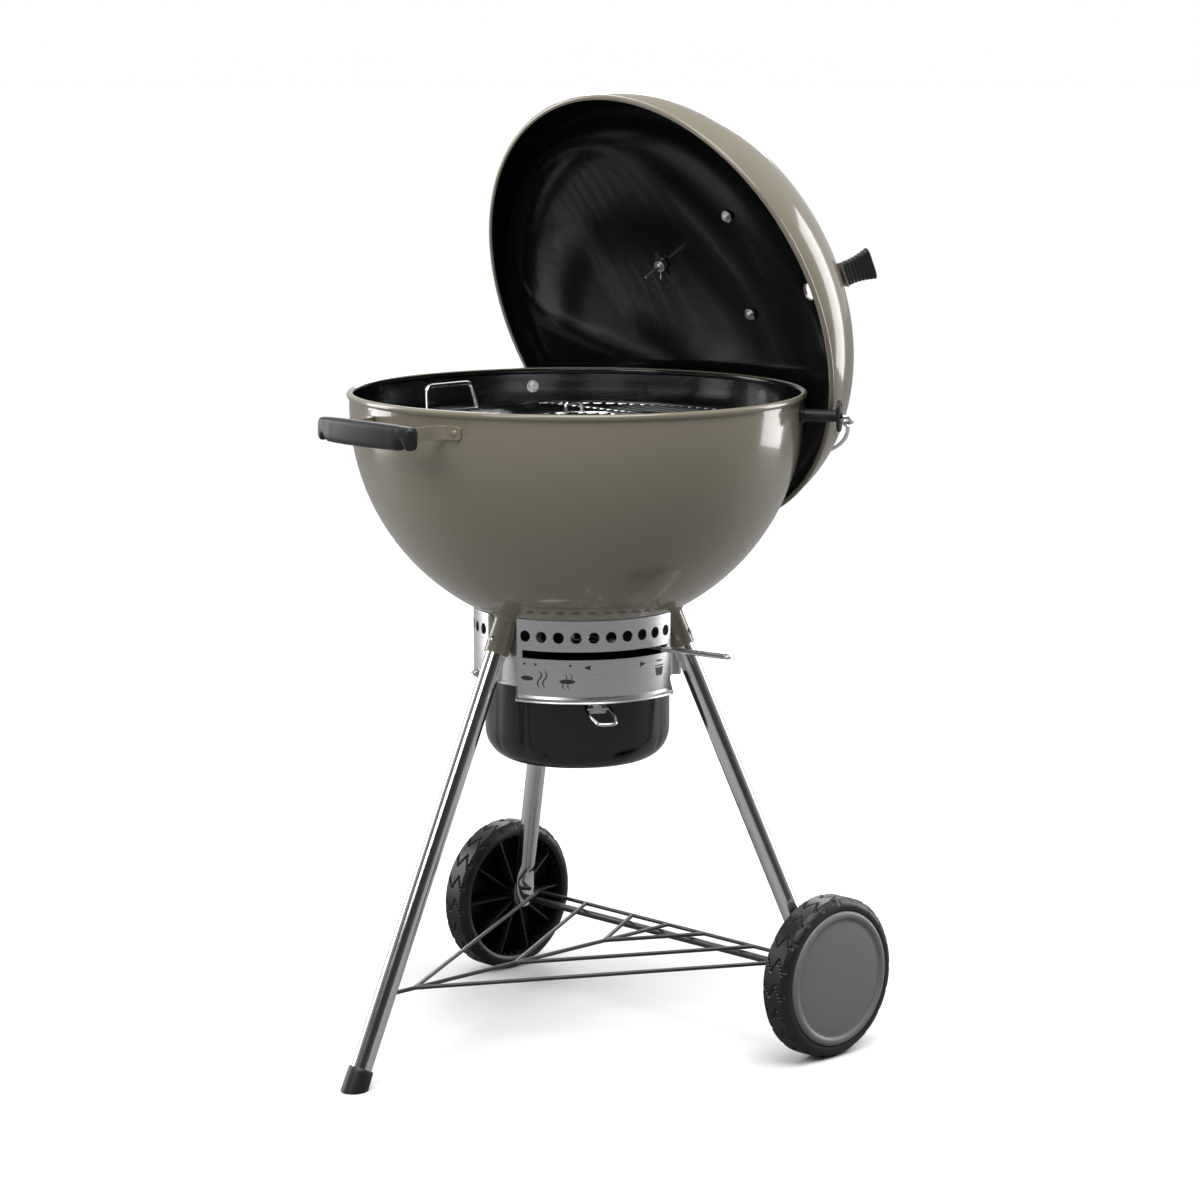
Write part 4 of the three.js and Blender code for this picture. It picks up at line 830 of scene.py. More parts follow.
def build_wheels():
    s = sizes()
    inner_side = [(5.3, -26), (10.5, -26), (12, -25), (12, 9), (14, 11.5), (79, 11.5), (81.5, 9), (84, -18.5),
                  (86, -20.2), (89, -21), (93, -20.6), (96.5, -18.5), (99, -15.5)]
    tread = [(s.wheel_radius - 0.6, -13.5 + 27 * i / 14) for i in range(15)]
    outer_side = [(99, 15.5), (96.5, 18.5), (93, 20.6), (89, 21), (86.6, 20.4), (85.6, 19), (85.6, 15),
                  (5.3, 15)]
    rows = inner_side + tread + outer_side
    steps = 480
    verts = []
    for j in range(steps):
        turn = 2 * PI * j / steps
        for radius, z in rows:
            if radius > 95:
                zig = 0.28 * math.asin(math.sin(z / 27 * 2 * PI * 1.5)) / (PI / 2)
                phase = (turn / (2 * PI) * s.tread_blocks + zig) % 1
                groove = 2.6 if abs(z) < 15 else 1.6
                radius -= groove * max(0.0, min(1.0, (0.085 - min(phase, 1 - phase)) / 0.03))
            verts.append((radius * math.cos(turn), radius * math.sin(turn), z))
    for name, sign in (("near", -1), ("far", 1)):
        m = along((AXLE_X, sign * WHEEL_Y, AXLE_Z), (0, sign, 0), (1, 0, 0))
        shape = Shape().add(verts, turned_faces(steps, len(rows), True), m)
        for k in range(10):
            turn = Matrix.Rotation(2 * PI * k / 10, 4, "Z")
            outline = [(11, -1.3), (84.5, -1.1), (84.5, 1.1), (11, 1.3)]
            rib = [[(x, y, z) for (x, y), z in zip(outline, zs)]
                   for zs in ((12.5, 12.5, 12.5, 12.5), (-20, -13, -13, -20))]
            shape.loft(rib, matrix=m @ turn)
        for k in range(40):
            turn = Matrix.Rotation(2 * PI * (k + 0.5) / 40, 4, "Z")
            rib = [[(79.5, -0.7, z), (84.8, -0.7, z), (84.8, 0.7, z), (79.5, 0.7, z)] for z in (10, -14)]
            shape.loft(rib, matrix=m @ turn)
        piece(f"wheel_tyre_{name}", shape, f"wheel_{name}", [f"wheel_{name}"], ["tyre"], sharp=28)
        dome = [(0.01, 23.2), (20, 23.1), (45, 22.6), (62, 21.9), (70, 21.2), (73.5, 20.6), (74.6, 20.9),
                (76, 22.6),
                (78, 23.3), (81, 23.3), (83.6, 22.4), (84.9, 20.6), (85.0, 18.4), (0.01, 18.2)]
        piece(f"hubcap_disc_{name}", Shape().revolve(dome, 128, m), f"wheel_{name}", [f"hubcap_{name}"],
              ["hubcap"], sharp=40)


# ---------------------------------------------------------------- wire rack
def build_rack():
    shape = Shape()
    slope = RACK_HALF / (RACK_BACK_X - RACK_TIP_X)

    def bar(points, lift=0.0):
        shape.tube(bend_path([(x, y, RACK_Z + lift) for x, y in points], 6, 5), 2.6, 12)
    bar([(RACK_BACK_X, -RACK_HALF), (RACK_BACK_X, RACK_HALF)])
    bar([(RACK_TIP_X - 40, 0), (RACK_BACK_X, 0)])
    for tip in (RACK_TIP_X, -112, 45):
        reach = slope * (RACK_BACK_X - tip)
        bar([(RACK_BACK_X, -reach), (tip + 3, -0.6), (tip + 3, 0.6), (RACK_BACK_X, reach)], 0.2)
    piece("bottom_rack_wires", shape, "stand", ["wire_rack"], ["black_wire"], sharp=50)


# ---------------------------------------------------------------- ash ring
def ring_radius(turn):
    """Outer radius of the ring at an azimuth: three bulged panels with recesses where the legs pass."""
    nearest = from_panel(turn)
    if nearest <= PANEL_HALF:
        return RING_R
    t = min(1.0, (nearest - PANEL_HALF) / 2.4)
    return RING_R + (RING_RECESS_R - RING_R) * t * t * (3 - 2 * t)


def build_ash_ring():
    bowl = sizes().bowl_radius
    steps = 600
    columns = []
    for j in range(steps):
        turn = 360 * j / steps
        r = ring_radius(turn)
        top = BOWL_CENTRE_Z - math.sqrt((bowl + 0.5) ** 2 - r * r)
        in_front = abs((turn - PANELS["front"] + 180) % 360 - 180) <= PANEL_HALF
        low = LIP_Z if in_front else RING_BOTTOM
        if in_front:
            outer = [(r + 5, low), (r + 5.4, low + 0.8), (r + 4.6, low + 2.2), (r + 1.2, low + 4.6),
                     (r, low + 8)]
        else:
            outer = [(r, low), (r + 0.01, low + 0.8), (r + 0.01, low + 2.2), (r, low + 4.6), (r, low + 8)]
        zs = [low + 8 + (top - low - 8) * i / 6 for i in range(1, 7)]
        outer += [(r, z) for z in zs]
        inner = [(r - 1.5, z) for z in reversed(zs)] + [(r - 1.5, low + 8), (r - 1.5, low + 0.2)]
        columns.append([polar(rad, turn, z) for rad, z in outer + inner])
    ring = piece("ash_ring_panels", Shape().loft(columns, closed=True), "stand", ["ash_ring"],
                 ["ring"], sharp=30)
    cutter = Shape()
    for middle in PANELS.values():
        for k in range(10):
            turn = middle + (k - 4.5) * 9.6
            cutter.revolve([(0.01, -12), (7, -12), (7, 8), (0.01, 8)], 28,
                           along(polar(RING_R, turn, VENT_Z), polar(1, turn)))
    front = PANELS["front"]
    inner_r, outer_r = RING_R - 8, RING_R + 8
    rings = []
    for k in range(25):
        turn = front - 45 + 90 * k / 24
        rings.append([polar(inner_r, turn, SLOT_Z[0]), polar(outer_r, turn, SLOT_Z[0]),
                      polar(outer_r, turn, SLOT_Z[1]), polar(inner_r, turn, SLOT_Z[1])])
    cutter.loft(rings)
    for name in ("capped", "near", "far"):
        top, foot = leg_line(name)
        down = (foot - top).normalized()
        cutter.loft(tube_rings([top - down * 60, foot], lambda t: (16.8, 16.8), 40))
    cut(ring, cutter)

    def normal_at(p):
        turn = math.degrees(math.atan2(p.y, p.x))
        if abs(from_panel(turn) - PANEL_HALF - 1.2) < 1.6 or p.z < LIP_Z + 8.5:
            return None
        return Vector((p.x, p.y, 0)).normalized()
    true_normals(ring, normal_at)
    build_ring_marks()
    for name, turn in (("far", PANELS["far"] + 33), ("near", PANELS["rear"] - 33)):
        sideways = (-math.sin(math.radians(turn)), math.cos(math.radians(turn)), 0)
        m = along(polar(RING_R, turn, RING_SCREW_Z), polar(1, turn), sideways)
        hub = [(0.01, 6.2), (2.2, 6.0), (2.4, 5.2), (3.4, 5.0), (5.2, 1.0), (5.4, 0.4), (0.01, 0.4)]
        nut = Shape().revolve(hub, 28, m)
        nut.revolve([(0.01, -5.4), (2.2, -5.4), (2.2, 0.5)], 16, m)
        for side in (1, -1):
            wing = [(side * 2, 0, 2.5), (side * 5, 0, 4.2), (side * 8, 0, 5.4), (side * 10.3, 0, 5.6)]
            nut.loft(tube_rings(wing, lambda t: (1.1, 2.4 + 0.8 * t), 16, power=2.6, up=(0, 0, 1)), matrix=m)
        piece(f"ring_wing_nut_{name}", nut, "stand", [f"ring_wing_screw_{name}"], ["zinc"])


def build_ring_marks():
    """Plain marks under the slot: dots, ovals, waves, a double arrow and a small pot."""
    marks = Shape()

    def patch(outline):
        """Thin raised mark from (turn, z) points."""
        count = len(outline)
        verts = [polar(RING_R + lift, PANELS["front"] + turn, z) for lift in (0.22, -0.4) for turn,
                 z in outline]
        sides = [(i, (i + 1) % count, count + (i + 1) % count, count + i) for i in range(count)]
        marks.add(verts, [tuple(range(count))] + sides)

    def oval(turn, z, half_turn, half_z, steps=28):
        angles = [2 * PI * i / steps for i in range(steps)]
        patch([(turn + half_turn * math.cos(a), z + half_z * math.sin(a)) for a in angles])

    def wave(turn, low, high, half_turn=0.42):
        """Upright S-curve as a run of short patches."""
        count = 16
        spine = [(turn + 1.15 * math.sin((t / count - 0.5) * 2 * PI), low + (high - low) * t / count)
                 for t in range(count + 1)]
        for i, ((t0, z0), (t1, z1)) in enumerate(zip(spine, spine[1:])):
            w0 = half_turn * math.sin(PI * (i + 0.6) / (count + 1.2)) ** 0.4
            w1 = half_turn * math.sin(PI * (i + 1.6) / (count + 1.2)) ** 0.4
            patch([(t0 - w0, z0), (t0 + w0, z0), (t1 + w1, z1), (t1 - w1, z1)])

    for turn in (-43.5, -37, -17.5):
        oval(turn, 498.2, 0.75, 1.6, 16)
    oval(-42, 480.5, 3.8, 3.0)
    wave(-34.6, 470, 491)
    wave(-31.6, 470, 491)
    oval(-19.2, 478.5, 4.3, 2.9)
    wave(-20.6, 468, 489, 0.3)
    wave(-17.8, 468, 489, 0.3)
    patch([(-8, 495.2), (24, 495.2), (24, 496.4), (-8, 496.4)])
    for tip, back in ((-10.5, -6.6), (26.5, 22.6)):
        patch([(tip, 495.8), (back, 499.0), (back, 492.6)])
    patch([(34.6, 478), (39.4, 478), (40.4, 488.5), (33.6, 488.5)])
    oval(37, 490.6, 3.9, 0.9)
    oval(37, 496.5, 2.7, 1.1)
    piece("ring_marks", marks, "stand", [], ["mark"], sharp=20)


# ---------------------------------------------------------------- ash pot and its wire handle
def build_ash_pot():
    steps = 240
    corner = 38.3
    outer = [(0.001, POT_BOTTOM)] + [(i * 13.0, POT_BOTTOM) for i in range(1, 6)]
    outer += arc_points(POT_R - corner, POT_BOTTOM + corner, corner, -90, 0, 14)
    outer += [(POT_R, 410), (POT_R, 440), (POT_R, 470), (POT_R - 0.1, 483), (POT_R - 0.3, 486)]
    inner = [(r - 1.4 if r > 2 else r, z + (1.4 if z < 400 else 0)) for r, z in reversed(outer)]
    rows = outer + inner
    verts = []
    for j in range(steps):
        turn = 360 * j / steps
        crease = math.exp(-((from_panel(turn) - PANEL_HALF) / 2.2) ** 2) * 1.1
        for r, z in rows:
            verts.append(polar(max(0.001, r - (crease if r > 60 and z > 380 else 0)), turn, z))
    shape = Shape().add(verts, turned_faces(steps, len(rows)))
    piece("ash_catcher_pot", shape, "ash_pot", ["ash_pot"], ["pot"], sharp=50)
    out = polar(1, POT_AZ)
    side = Vector((-out.y, out.x, 0))
    pivot_r = POT_R + 5

    def at(reach, across, lift=0.0):
        return Vector((0, 0, POT_PIVOT_Z + lift)) + out * reach + side * across
    clip = Shape()
    m = Matrix((side, Vector((0, 0, 1)), out)).transposed().to_4x4()
    clip.plate([(-11, -7), (11, -7), (11, 7), (-11, 7)], 0.4, 2.2, Matrix.Translation(at(POT_R, 0)) @ m,
               edge=0.4)
    for y in (-8.2, 8.2):
        clip.loft(tube_rings([at(pivot_r, y - 2.6), at(pivot_r, y + 2.6)], lambda t: (3.3, 3.3), 20))
    piece("pot_handle_bracket", clip, "ash_pot", ["pot_handle_clip"], ["zinc"], bevel=0.3)
    wide, length = 15, 58
    path = [at(pivot_r, -10), at(pivot_r, -wide), at(pivot_r + length * 0.55, -wide - 0.5, -4.5),
            at(pivot_r + length - 2, -wide + 4, -8.6), at(pivot_r + length, -wide + 11, -9),
            at(pivot_r + length, wide - 11, -9), at(pivot_r + length - 2, wide - 4, -8.6),
            at(pivot_r + length * 0.55, wide + 0.5, -4.5), at(pivot_r, wide), at(pivot_r, 10)]
    piece("pot_wire_handle", Shape().tube(bend_path(path, 7, 6), 2.2, 14), "pot_handle", ["pot_handle"],
          ["wire"], sharp=60)


# ---------------------------------------------------------------- sweeper lever
def build_sweeper():
    out = polar(1, LEVER_AZ)
    side = Vector((-out.y, out.x, 0))

    def at(reach, across):
        return Vector((0, 0, LEVER_Z)) + out * reach + side * across
    h = 4.4
    path = [at(14, h), at(228, h), at(230.2, h - 2.2), at(230.2, -h + 2.2), at(228, -h), at(14, -h)]
    shape = Shape().tube(bend_path(path, 3.4, 6), 2.6, 14)
    shape.revolve([(6.4, -3), (16.5, -3), (17, -2.4), (17, 2.4), (16.5, 3), (6.4, 3)], 48,
                  Matrix.Translation((0, 0, LEVER_Z)), closed=True)
    piece("sweeper_lever_wire", shape, "sweeper", ["sweeper_lever"], ["wire"], sharp=50)
    nut = Shape()
    hexagon(11, LEVER_Z - 10.5, LEVER_Z - 3.4, Matrix.Identity(4), nut)
    piece("sweeper_nut", nut, "sweeper", ["lever_nut"], ["zinc"])


# ---------------------------------------------------------------- grates
def hoop(shape, radius, wire, z):
    steps = 120
    shape.tube([polar(radius, 360 * i / steps, z) for i in range(steps)], wire, 10, closed=True)


def build_charcoal_grate():
    shape = Shape()
    hoop(shape, COAL_R, 2.6, COAL_Z)
    for k in range(-9, 10):
        y = k * 21.5
        reach = math.sqrt((COAL_R + 0.5) ** 2 - y * y)
        shape.tube([(-reach, y, COAL_Z), (reach, y, COAL_Z)], 2.5, 10)
    for x in (-90, 90):
        reach = math.sqrt((COAL_R + 0.5) ** 2 - x * x)
        shape.tube([(x, -reach, COAL_Z - 3.2), (x, reach, COAL_Z - 3.2)], 2.5, 10)
    piece("charcoal_grate_rods", shape, "charcoal_grate", ["charcoal_grate"], ["steel"],
          sharp=60)


def rod_rows():
    """Places of the cooking grate's rods across the grill."""
    pitch = sizes().rod_pitch
    count = int((GRATE_R - 1) / pitch)
    return [k * pitch for k in range(-count, count + 1)]


def build_cooking_grate():
    build_grate_frame()
    for name, side in (("front", -1), ("rear", 1)):
        build_grate_flap(name, side)
    build_grate_insert()


def build_grate_frame():
    shape = Shape()
    opening, cross = 150.5, 154
    hoop(shape, GRATE_R, 3, GRATE_Z)
    hoop(shape, opening, 3, GRATE_Z)
    for sign in (-1, 1):
        x = sign * cross
        reach = math.sqrt((GRATE_R - 1) ** 2 - x * x)
        shape.tube([(x, -reach, GRATE_Z), (x, reach, GRATE_Z)], 3, 12)
        y = sign * 240
        handle = [(-44, y - sign * 8, GRATE_Z), (-38, y, GRATE_Z + 34), (38, y, GRATE_Z + 34),
                  (44, y - sign * 8, GRATE_Z)]
        shape.tube(bend_path(handle, 9, 6), 3, 12)
        shape.tube([(-52, y - sign * 8, GRATE_Z), (52, y - sign * 8, GRATE_Z)], 3, 12)
        shape.tube([(0, sign * opening, GRATE_Z - 4), (0, sign * GRATE_R, GRATE_Z - 4)], 3, 12)
    for y in rod_rows():
        edge = min(cross, math.sqrt(GRATE_R ** 2 - y * y))
        inner = math.sqrt(opening ** 2 - y * y) if abs(y) < opening else 0
        if inner >= edge:
            continue
        for a, b in [(inner, edge), (-edge, -inner)] if inner else [(-edge, edge)]:
            shape.tube([(a, y, GRATE_Z), (b, y, GRATE_Z)], ROD, 8)
    piece("cooking_grate_frame", shape, "cooking_grate", ["cooking_grate"], ["wire"], sharp=60)


def build_grate_flap(name, side):
    flap = Shape()
    spread = math.degrees(math.acos(FLAP_HINGE / FLAP_R))
    rim = arc_points(0, 0, FLAP_R, -spread, spread, 40)
    flap.tube([(side * x, y, GRATE_Z) for x, y in rim], 2.8, 12)
    reach = math.sqrt(FLAP_R ** 2 - FLAP_HINGE ** 2)
    flap.tube([(side * FLAP_HINGE, -reach, GRATE_Z), (side * FLAP_HINGE, reach, GRATE_Z)], 2.8, 12)
    for y in rod_rows():
        if abs(y) < reach - 8:
            end = math.sqrt(FLAP_R ** 2 - y * y)
            flap.tube([(side * FLAP_HINGE, y, GRATE_Z), (side * end, y, GRATE_Z)], ROD, 8)
    piece(f"grate_flap_{name}_rods", flap, f"grate_flap_{name}", [f"grate_flap_{name}"],
          ["wire"],
          sharp=60)


def build_grate_insert():
    middle = Shape()
    hoop(middle, INSERT_R, 3, GRATE_Z)
    for y in rod_rows():
        if abs(y) < INSERT_R - 5:
            reach = math.sqrt(INSERT_R ** 2 - y * y)
            middle.tube([(-reach, y, GRATE_Z), (reach, y, GRATE_Z)], ROD, 8)
    for sign in (-1, 1):
        y = sign * 99
        loop = [(74, y, GRATE_Z), (76, y, GRATE_Z + 16), (102, y, GRATE_Z + 16), (104, y, GRATE_Z)]
        middle.tube(bend_path(loop, 6, 5), 2.4, 10)
        middle.tube([(70, y, GRATE_Z), (math.sqrt(INSERT_R ** 2 - y * y), y, GRATE_Z)], 2.4, 10)
    piece("grate_insert_rods", middle, "grate_insert", ["grate_insert"], ["wire"], sharp=60)


# ---------------------------------------------------------------- lid holder
def build_lid_holder():
    bowl = sizes().bowl_radius
    for name, sign in (("near", -1), ("far", 1)):
        out = polar(1, sign * HOLDER_AZ)
        m = along(Vector((0, 0, HOLDER_Z)), out, (0, 0, 1))
        tube = [(4.2, HOLDER_END + 0.5), (5.2, HOLDER_END - 10), (7.6, HOLDER_END + 0.5), (7.6, bowl + 8),
                (8.2, bowl + 6), (9.9, bowl + 5), (10, bowl + 1), (4.2, bowl + 1)]
        shape = Shape().revolve(tube, 48, m, closed=True)
        outline = arc_points(9.5, 0, 10, -90, 90, 12) + arc_points(-9.5, 0, 10, 90, 270, 12)
        shape.plate(outline, HOLDER_END, HOLDER_END + 4.5, m, edge=0.9)
        obj = piece(f"holder_tube_{name}", shape, "stand", [f"holder_standoff_{name}"], ["nylon"],
                    sharp=35)
        holes = Shape()
        for radius, low, sides, across in ((5.0, HOLDER_END - 9, 32, 0), (2.9, HOLDER_END - 2, 24, 14)):
            holes.revolve([(0.01, low), (radius, low), (radius, HOLDER_END + 9), (0.01, HOLDER_END + 9)],
                          sides,
                          m @ Matrix.Translation((across, 0, 0)))
        cut(obj, holes)
        wall = bowl - SHEET - 2.4
        shank = [(0.01, wall - 7.5), (2.4, wall - 7.3), (3.0, wall - 6.8), (3.0, wall),
                 (3.0, HOLDER_END - 22)]
        bolt = Shape().revolve(shank, 20, m)
        bolt.revolve([(3.1, wall), (8, wall), (8.2, wall - 0.6), (7.8, wall - 1.6), (3.1, wall - 1.8)], 28,
                     m, closed=True)
        hexagon(5.8, wall - 6, wall - 1.6, m, bolt)
        piece(f"holder_nut_{name}", bolt, "stand", [f"holder_bolt_{name}"], ["zinc"])

    pivot = polar(HOLDER_END + 2.25, HOLDER_AZ, HOLDER_Z)

    def flat(d, y):
        return Vector((pivot.x + d * math.cos(HOOP_DROP), y, HOLDER_Z - d * math.sin(HOOP_DROP)))
    side = [(0, pivot.y - 5), (0, pivot.y + 9), (8, pivot.y + 13), (16, pivot.y + 9), (23, pivot.y - 10)]
    start = math.acos((pivot.x + 32) / HOOP_R)
    turns = [start - 2 * start * i / 60 for i in range(61)]
    main = [(HOOP_R * math.cos(t) - pivot.x, HOOP_R * math.sin(t)) for t in turns]
    far_end = bend_path([flat(d, y) for d, y in side] + [flat(*main[0]), flat(*main[1])], 5, 6)
    near_end = bend_path([flat(*main[-2]), flat(*main[-1])] + [flat(d, -y) for d, y in reversed(side)], 5, 6)
    path = far_end[:-1] + [flat(*p) for p in main[1:-1]] + near_end[1:]
    piece("lid_holder_wire", Shape().tube(path, 2.4, 14), "lid_holder", ["lid_holder_hoop"],
          ["wire"],
          sharp=60)


# ---------------------------------------------------------------- lid
def dome_height(r, radius):
    """Height of the lid's dome above its mouth at a radius."""
    return LID_DEPTH * math.sqrt(max(0.0, 1 - (r / radius) ** 2))


def dome_frame(offset, sign):
    """Frame standing on the dome, local X up the lid and local Z along the dome's normal."""
    radius = sizes().lid_radius
    h = dome_height(offset, radius)
    normal = Vector((0, sign * offset / radius ** 2, h / LID_DEPTH ** 2)).normalized()
    x = Vector((1, 0, 0))
    basis = Matrix((x, normal.cross(x), normal)).transposed().to_4x4()
    return lid_frame() @ Matrix.Translation((0, sign * offset, h)) @ basis


def damper_holes(shape, low, frame_of_damper):
    """Adds the cutters of the four air holes, which pass through the lid and the damper."""
    for radius, turn in DAMPER_HOLES:
        shape.revolve([(0.01, low), (DAMPER_HOLE_R, low), (DAMPER_HOLE_R, 20), (0.01, 20)], 32,
                      frame_of_damper @ Matrix.Translation(polar(radius, turn)))
    return shape


def build_lid():
    s = sizes()
    radius = s.lid_radius

    def curve(reach, depth):
        angles = [PI / 2 * i / 32 for i in range(1, 32)]
        return [(0.001, depth)] + [(reach * math.sin(a), depth * math.cos(a)) for a in angles] + [(reach, 0)]
    outside = curve(radius, LID_DEPTH)
    inside = list(reversed(curve(radius - SHEET, LID_DEPTH - SHEET)))
    bead = arc_points(radius - 1, -LID_BEAD_DROP, LID_BEAD, 73, -253, 14)
    paint = [0] * (len(outside) + 9) + [1] * (len(bead) + len(inside) - 10)
    shape = Shape().revolve(outside + bead + inside, s.round_steps, lid_frame(), paint)
    lid = piece("lid_dome", shape, "lid", ["lid"], ["enamel", "inside"], sharp=60)
    cut(lid, damper_holes(Shape(), -30, dome_frame(DAMPER_OFFSET, 1)))
    back = lid_frame().inverted()
    turn = lid_frame().to_3x3()

    def normal_at(p):
        q = back @ p
        flat = Vector((q.x, q.y, 0))
        if q.z < -0.6:
            ring = flat.normalized() * (radius - 1) + Vector((0, 0, -LID_BEAD_DROP))
            return turn @ (q - ring).normalized()
        normal = flat.normalized() * (max(flat.length, 1e-4) / radius ** 2)
        normal.z = max(q.z, 0) / LID_DEPTH ** 2
        return turn @ normal.normalized()
    true_normals(lid, normal_at)
    build_lid_handle()


def build_lid_handle():
    lf = lid_frame()
    rings = []
    for k in range(41):
        x = -96 + 192 * k / 40
        z = LID_DEPTH + 0.9 + 3.2 * (x / 96) ** 4
        w = 22 if abs(x) < 84 else 22 * math.sqrt(max(0.05, 1 - ((abs(x) - 84) / 13) ** 2))
        rings.append([(x, -w, z + 1.4), (x, -w, z), (x, w, z), (x, w, z + 1.4)])
    piece("heat_shield_strip", Shape().loft(rings, matrix=lf), "lid", ["lid_heat_shield"],
          ["ring"],
          bevel=0.3)

    low, high = LID_DEPTH + 4.2, LID_DEPTH + 49
    path = bend_path([(-LID_BOLT, 0, low), (-67, 0, high - 5), (-40, 0, high), (40, 0, high),
                      (67, 0, high - 5),
                      (LID_BOLT, 0, low)], 26, 10)

    def size(t):
        u = abs(t - 0.5) * 2
        return 8.5 + 2.5 * u ** 3, 13.5 + 1.5 * u ** 4
    handle = Shape().loft(tube_rings(path, size, 28, power=3.0, up=(0, 1, 0)), matrix=lf)
    for side in (-1, 1):
        handle.revolve([(0.01, 4.1), (15.5, 4.1), (16.5, 5), (15.8, 9), (12, 14), (0.01, 15)], 36,
                       lf @ Matrix.Translation((side * LID_BOLT, 0, LID_DEPTH)))
    piece("lid_handle_grip", handle, "lid", ["lid_handle"], ["nylon"], sharp=45)
    seat = dome_height(LID_BOLT, sizes().lid_radius) - SHEET
    for name, side in (("lower", -1), ("upper", 1)):
        m = lf @ Matrix.Translation((side * LID_BOLT, 0, 0))
        bolt = Shape().revolve([(0.01, seat - 9.5), (2.4, seat - 9.2), (3, seat - 8.6), (3, LID_DEPTH + 10)],
                               20, m)
        bolt.revolve([(3.1, seat - 2.6), (8, seat - 2.6), (8.2, seat - 3.3), (7.8, seat - 4.3),
                      (3.1, seat - 4.4)],
                     28, m, closed=True)
        hexagon(5.6, seat - 8, seat - 4.1, m, bolt)
        piece(f"lid_handle_nut_{name}", bolt, "lid", [f"lid_handle_bolt_{name}"], ["zinc"])


def build_damper():
    m = dome_frame(DAMPER_OFFSET, 1)

    def drop(r):
        return 1.0 - (DAMPER_DISH - math.sqrt(DAMPER_DISH * DAMPER_DISH - r * r))
    outer = [(r, drop(r) + 1.4) for r in (0.01, 8, 16, 24, 32, 40, 48, 53.6)]
    outer += [(54.8, drop(54.8) + 0.9), (54.8, drop(54.8) + 0.2)]
    inner = [(r, drop(r)) for r in (53, 44, 34, 24, 12, 0.01)]
    disc = piece("damper_plate", Shape().revolve(outer + inner, 96, m), "damper", ["damper_disc"],
                 ["ring"], sharp=40)
    cut(disc, damper_holes(Shape(), -20, m))
    arm_m = m @ Matrix.Rotation(math.radians(78), 4, "Z")
    low = drop(55) - 0.5
    arm = Shape().plate([(51, -13), (86, -16), (86, 16), (51, 13)], low, low + 1.5, arm_m, edge=0.3)
    piece("damper_arm", arm, "damper", [], ["ring"])
    rings = []
    base = low + 1.9
    for k in range(45):
        t = k / 44
        z = base + 42.5 * t
        round_end = max(0, (t - 0.93) / 0.07)
        wide = (15.5 + 5.5 * t - 1.8 * math.sin(PI * t)) * (1 - 0.3 * round_end ** 2)
        thick = (8.0 - 1.8 * math.sin(PI * t)) * (1 - 0.45 * round_end ** 2)
        groove = 1.1 * (0.5 + 0.5 * math.cos(t * 2 * PI * 8)) if 0.12 < t < 0.92 else 0
        ring = []
        for i in range(48):
            a = 2 * PI * i / 48
            x = squared(math.cos(a), 0.5) * (thick - groove * 0.6)
            y = squared(math.sin(a), 0.5) * (wide - groove)
            ring.append((x + 78, y, z))
        rings.append(ring)
    piece("damper_grip", Shape().loft(rings, matrix=arm_m), "damper", ["damper_knob"], ["nylon"],
          sharp=55)
    rivet = [(0.01, 6.0), (3, 5.7), (5.4, 4.8), (6.8, 3.4), (7, 3.0), (3, 2.9), (3, -2.8), (6, -2.9),
             (6, -4.6),
             (0.01, -5.2)]
    piece("damper_pivot_rivet", Shape().revolve(rivet, 28, m), "lid", ["damper_rivet"], ["zinc"])


def build_thermometer():
    m = dome_frame(THERMO_OFFSET, -1)
    case = [(0.01, 3.4), (26, 3.4), (29, 4.4), (30.6, 6.6), (31, 9), (31, 13.2), (30.2, 15.2), (28.6, 16.2),
            (27.2, 15.6), (26.8, 14.0), (26.8, 12.6), (0.01, 12.6)]
    stem = [(0.01, -52), (1.4, -51.4), (2.0, -50), (2.0, -16), (3.2, -15.4), (4.0, -14.6), (4.0, 3.6)]
    body = Shape().revolve(case, 72, m).revolve(stem, 20, m)
    piece("thermometer_case", body, "lid", ["thermometer"], ["zinc"], sharp=35)
    face = Shape().revolve([(0.01, 13.0), (26.6, 13.0), (26.6, 12.4), (0.01, 12.4)], 64, m)
    piece("thermometer_dial", face, "lid", [], ["dial"])
    marks = Shape()
    for k in range(25):
        turn = math.radians(-130 + 260 * k / 24)
        reach = 19.5 if k % 4 == 0 else 21.8
        marks.plate([(reach, -0.35), (24.6, -0.35), (24.6, 0.35), (reach, 0.35)], 12.9, 13.25,
                    m @ Matrix.Rotation(turn, 4, "Z"))
    needle = m @ Matrix.Rotation(math.radians(-118), 4, "Z")
    marks.plate([(-5, -0.9), (18, -0.2), (18, 0.2), (-5, 0.9)], 13.3, 13.9, needle)
    marks.revolve([(0.01, 14.4), (2.0, 14.0), (2.2, 13.0), (0.01, 13.0)], 24, m)
    piece("thermometer_marks", marks, "lid", [], ["mark"])
    hub = [(4.4, -12.2), (7.4, -12.2), (8.2, -11), (9.4, -5), (9.4, -4.4), (4.4, -4.4)]
    nut = Shape().revolve(hub, 32, m, closed=True)
    for side in (1, -1):
        wing = [(side * 6, 0, -8), (side * 10, 0, -9.5), (side * 14, 0, -12), (side * 17, 0, -14)]
        nut.loft(tube_rings(wing, lambda t: (1.4, 3.6 - 0.5 * t), 16, power=2.4, up=(0, 0, 1)), matrix=m)
    piece("thermometer_nut", nut, "lid", ["thermometer_wing_nut"], ["zinc"])


def paint_kept_nodes():
    """Finishes for the CAD nodes that stay."""
    finishes = materials()
    kept = {"sweeper_blades": "inside", **{f"grate_ledge_{k}": "steel" for k in range(1, 5)}}
    for name, paint in kept.items():
        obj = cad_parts[name]
        obj.data.materials.clear()
        obj.data.materials.append(finishes[paint])


